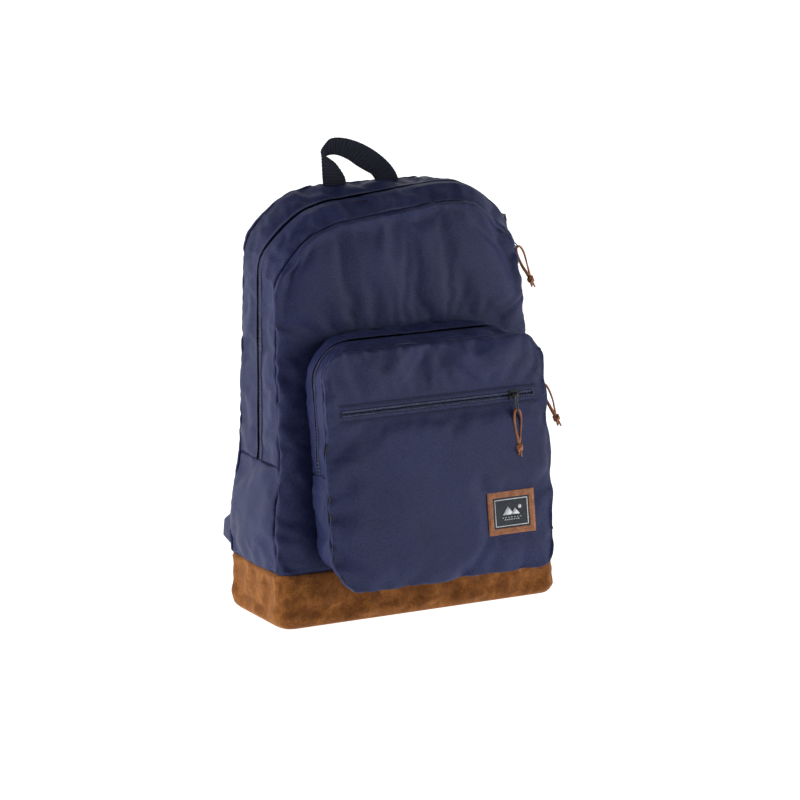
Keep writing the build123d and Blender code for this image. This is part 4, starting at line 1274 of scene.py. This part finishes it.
def lace_mesh(seed):
    """A doubled thong: a loop that narrows to an overhand knot, with two short tails."""
    bm = bmesh.new()
    w = LACE_WIDTH / 2
    lean = 0.5 * math.sin(seed * 2.1)
    loop = [(0.6, 0.3, -37), (1.8, 0.4, -30), (3.4 + lean, 0.2, -20), (4.1, 0, -9), (2.9, 0, -1.2), (0, 0, 1.7),
            (-2.9, 0, -1.2), (-4.1, 0, -9), (-3.2 + lean, -0.2, -20), (-1.6, -0.4, -30), (-0.6, -0.3, -37)]
    halves = [(1.1, w * 0.6, 0), (1.2, w * 0.7, 0), (0.8, w * 0.8, 0), (0.3, w * 0.8, 0), (0, w * 0.8, 0),
              (0, w * 0.8, 0), (0, w * 0.8, 0), (-0.3, w * 0.8, 0), (-0.8, w * 0.8, 0), (-1.2, w * 0.7, 0),
              (-1.1, w * 0.6, 0)]
    thong(bm, loop, halves, (60, 3))
    turns = 16  # eighths of a turn round the knot
    wrap = [(2.9 * math.cos(a), 2.4 * math.sin(a), -38.2 + 1.6 * math.sin(a * 0.5 + seed))
            for a in (n * 2 * math.pi / 8 for n in range(turns + 1))]
    thong(bm, wrap, [(0, 0.25, w)] * len(wrap), (64, 3))
    over = [(2.2, -2.6, -35.6), (1.0, -3.5, -37.4), (-0.8, -3.6, -38.8), (-2.4, -2.4, -40.8), (-1.2, -0.6, -42)]
    thong(bm, over, [(0.9, 0.3, 0.9)] * 5, (16, 3))
    for way, length in ((1, 9.0), (-1, 7.4)):
        tail = [(0.5 * way, 0, -39), (1.2 * way, 0.3 * way, -43), (1.9 * way, 0.5 * way, -39 - length)]
        thong(bm, tail, [(0.3, w, 0), (0.4, w * 0.95, 0), (0.7, w * 0.9, 0.6 * way)], (10, 3))
    return bm


for seed, (name, (place, body)) in enumerate(LACES.items()):
    bm = lace_mesh(seed + 1)
    bmesh.ops.transform(bm, matrix=place, verts=bm.verts)
    piece(f"thong_{name}", bm, (LEATHER,), body, "veg_leather", (name,), 1.9, 1, 0.0)


# ---- inside the bag ----
def sleeve_place(s, t):
    sag = 5 * math.sin(math.pi * s) * t * t
    return Vector(((s - 0.5) * 250, 46.4 - sag + 0.8 * ripple((s * 250, 0, t * 230), 30, 8), 34 + 230 * t))


sleeve = sheet_of((50, 40), sleeve_place)
piece("sleeve_cloth", sleeve, (LINING,), "bag", "lining_cloth", ("inner_sleeve",), 1.2, 0, 0.0)
binding = sheet_of((80, 8), lambda s, t: sleeve_place(s, 1) + Vector((0, 1.5 * math.sin(2 * math.pi * t),
                                                                    -2 + 6.5 * abs(math.cos(math.pi * t)))))
piece("sleeve_edge", binding, (WEBBING,), "bag", "webbing", ("sleeve_binding",), 0.8, 0, 0.0)
small_bag = sheet_of((60, 20), lambda s, t: FRONT @ Vector(((s - 0.5) * 214, -POCKET_DEPTH + 8.6 + 0.9 * ripple(
    (s * 214, 0, t * 56), 20, 9), SMALL_ZIP_Z - 56 * t)))
piece("small_bag_cloth", small_bag, (LINING,), "pocket_flap", "lining_cloth", ("small_pocket_bag",), 0.8, 0, 0.0)

# ---- finishes of the parts that keep their plain shape ----
for name, node in frame["nodes"].items():
    if node.hide_render:
        continue
    finish = BOARD if name == "base_board" else ACETAL if "ladder" in name else ENAMEL
    node.data.materials.clear()
    node.data.materials.append(finish)
    if finish is not BOARD:
        soften = node.modifiers.new("soften", "BEVEL")
        soften.width = 0.0004
        soften.segments = 2
        soften.limit_method = "ANGLE"

# ---- floor and light ----
# A flat floor that turns up into a wall well behind the bag, out of the way of every view.
WALL_Y, WALL_BEND = 4.8, 1.5
floor_bm = bmesh.new()
bmesh.ops.create_grid(floor_bm, x_segments=2, y_segments=128, size=16)
for v in floor_bm.verts:
    rise = max(0.0, v.co.y - WALL_Y) / WALL_BEND
    v.co.z = WALL_BEND * (1 - math.cos(min(rise, math.pi / 2)) + max(0.0, rise - math.pi / 2))
    v.co.y = min(v.co.y, WALL_Y) + WALL_BEND * math.sin(min(rise, math.pi / 2))
floor_mesh = bpy.data.meshes.new("floor")
floor_bm.to_mesh(floor_mesh)
floor_bm.free()
floor = bpy.data.objects.new("floor", floor_mesh)
floor.location.z = -0.0006
bpy.context.scene.collection.objects.link(floor)
floor_mesh.materials.append(finish_of("pale paper floor", Base_Color=colour("#b4b4b4"), Roughness=0.9,
                                      Emission_Color=colour("#ffffff"), Emission_Strength=1.0)[0])
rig.stage(floor)


def soft_light(name, place, size, power):
    lamp = bpy.data.lights.new(name, "AREA")
    lamp.shape = "RECTANGLE"
    lamp.size, lamp.size_y = size
    lamp.energy = power
    obj = bpy.data.objects.new(name, lamp)
    obj.location = place
    obj.rotation_euler = (Vector(place) - Vector((0, 0, 0.22))).to_track_quat("Z", "Y").to_euler()
    bpy.context.scene.collection.objects.link(obj)


soft_light("left softbox", (-2.1, 0.2, 0.75), (0.9, 1.5), 33)
soft_light("right softbox", (1.9, -1.35, 0.7), (0.6, 1.2), 31)
soft_light("overhead softbox", (0.2, -0.4, 2.3), (1.6, 1.6), 2)
world = bpy.data.worlds.new("studio")
bpy.context.scene.world = world
world.use_nodes = True
world.node_tree.nodes["Background"].inputs["Color"].default_value = (1, 1, 1, 1)
world.node_tree.nodes["Background"].inputs["Strength"].default_value = 0.07
bpy.context.scene.view_settings.view_transform = "Standard"

# ---- sizes ----
with open("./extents.json", "w") as out:
    json.dump({"cad": [list(p) for p in cad_box], "visual": [list(p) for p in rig.bounds()]}, out)
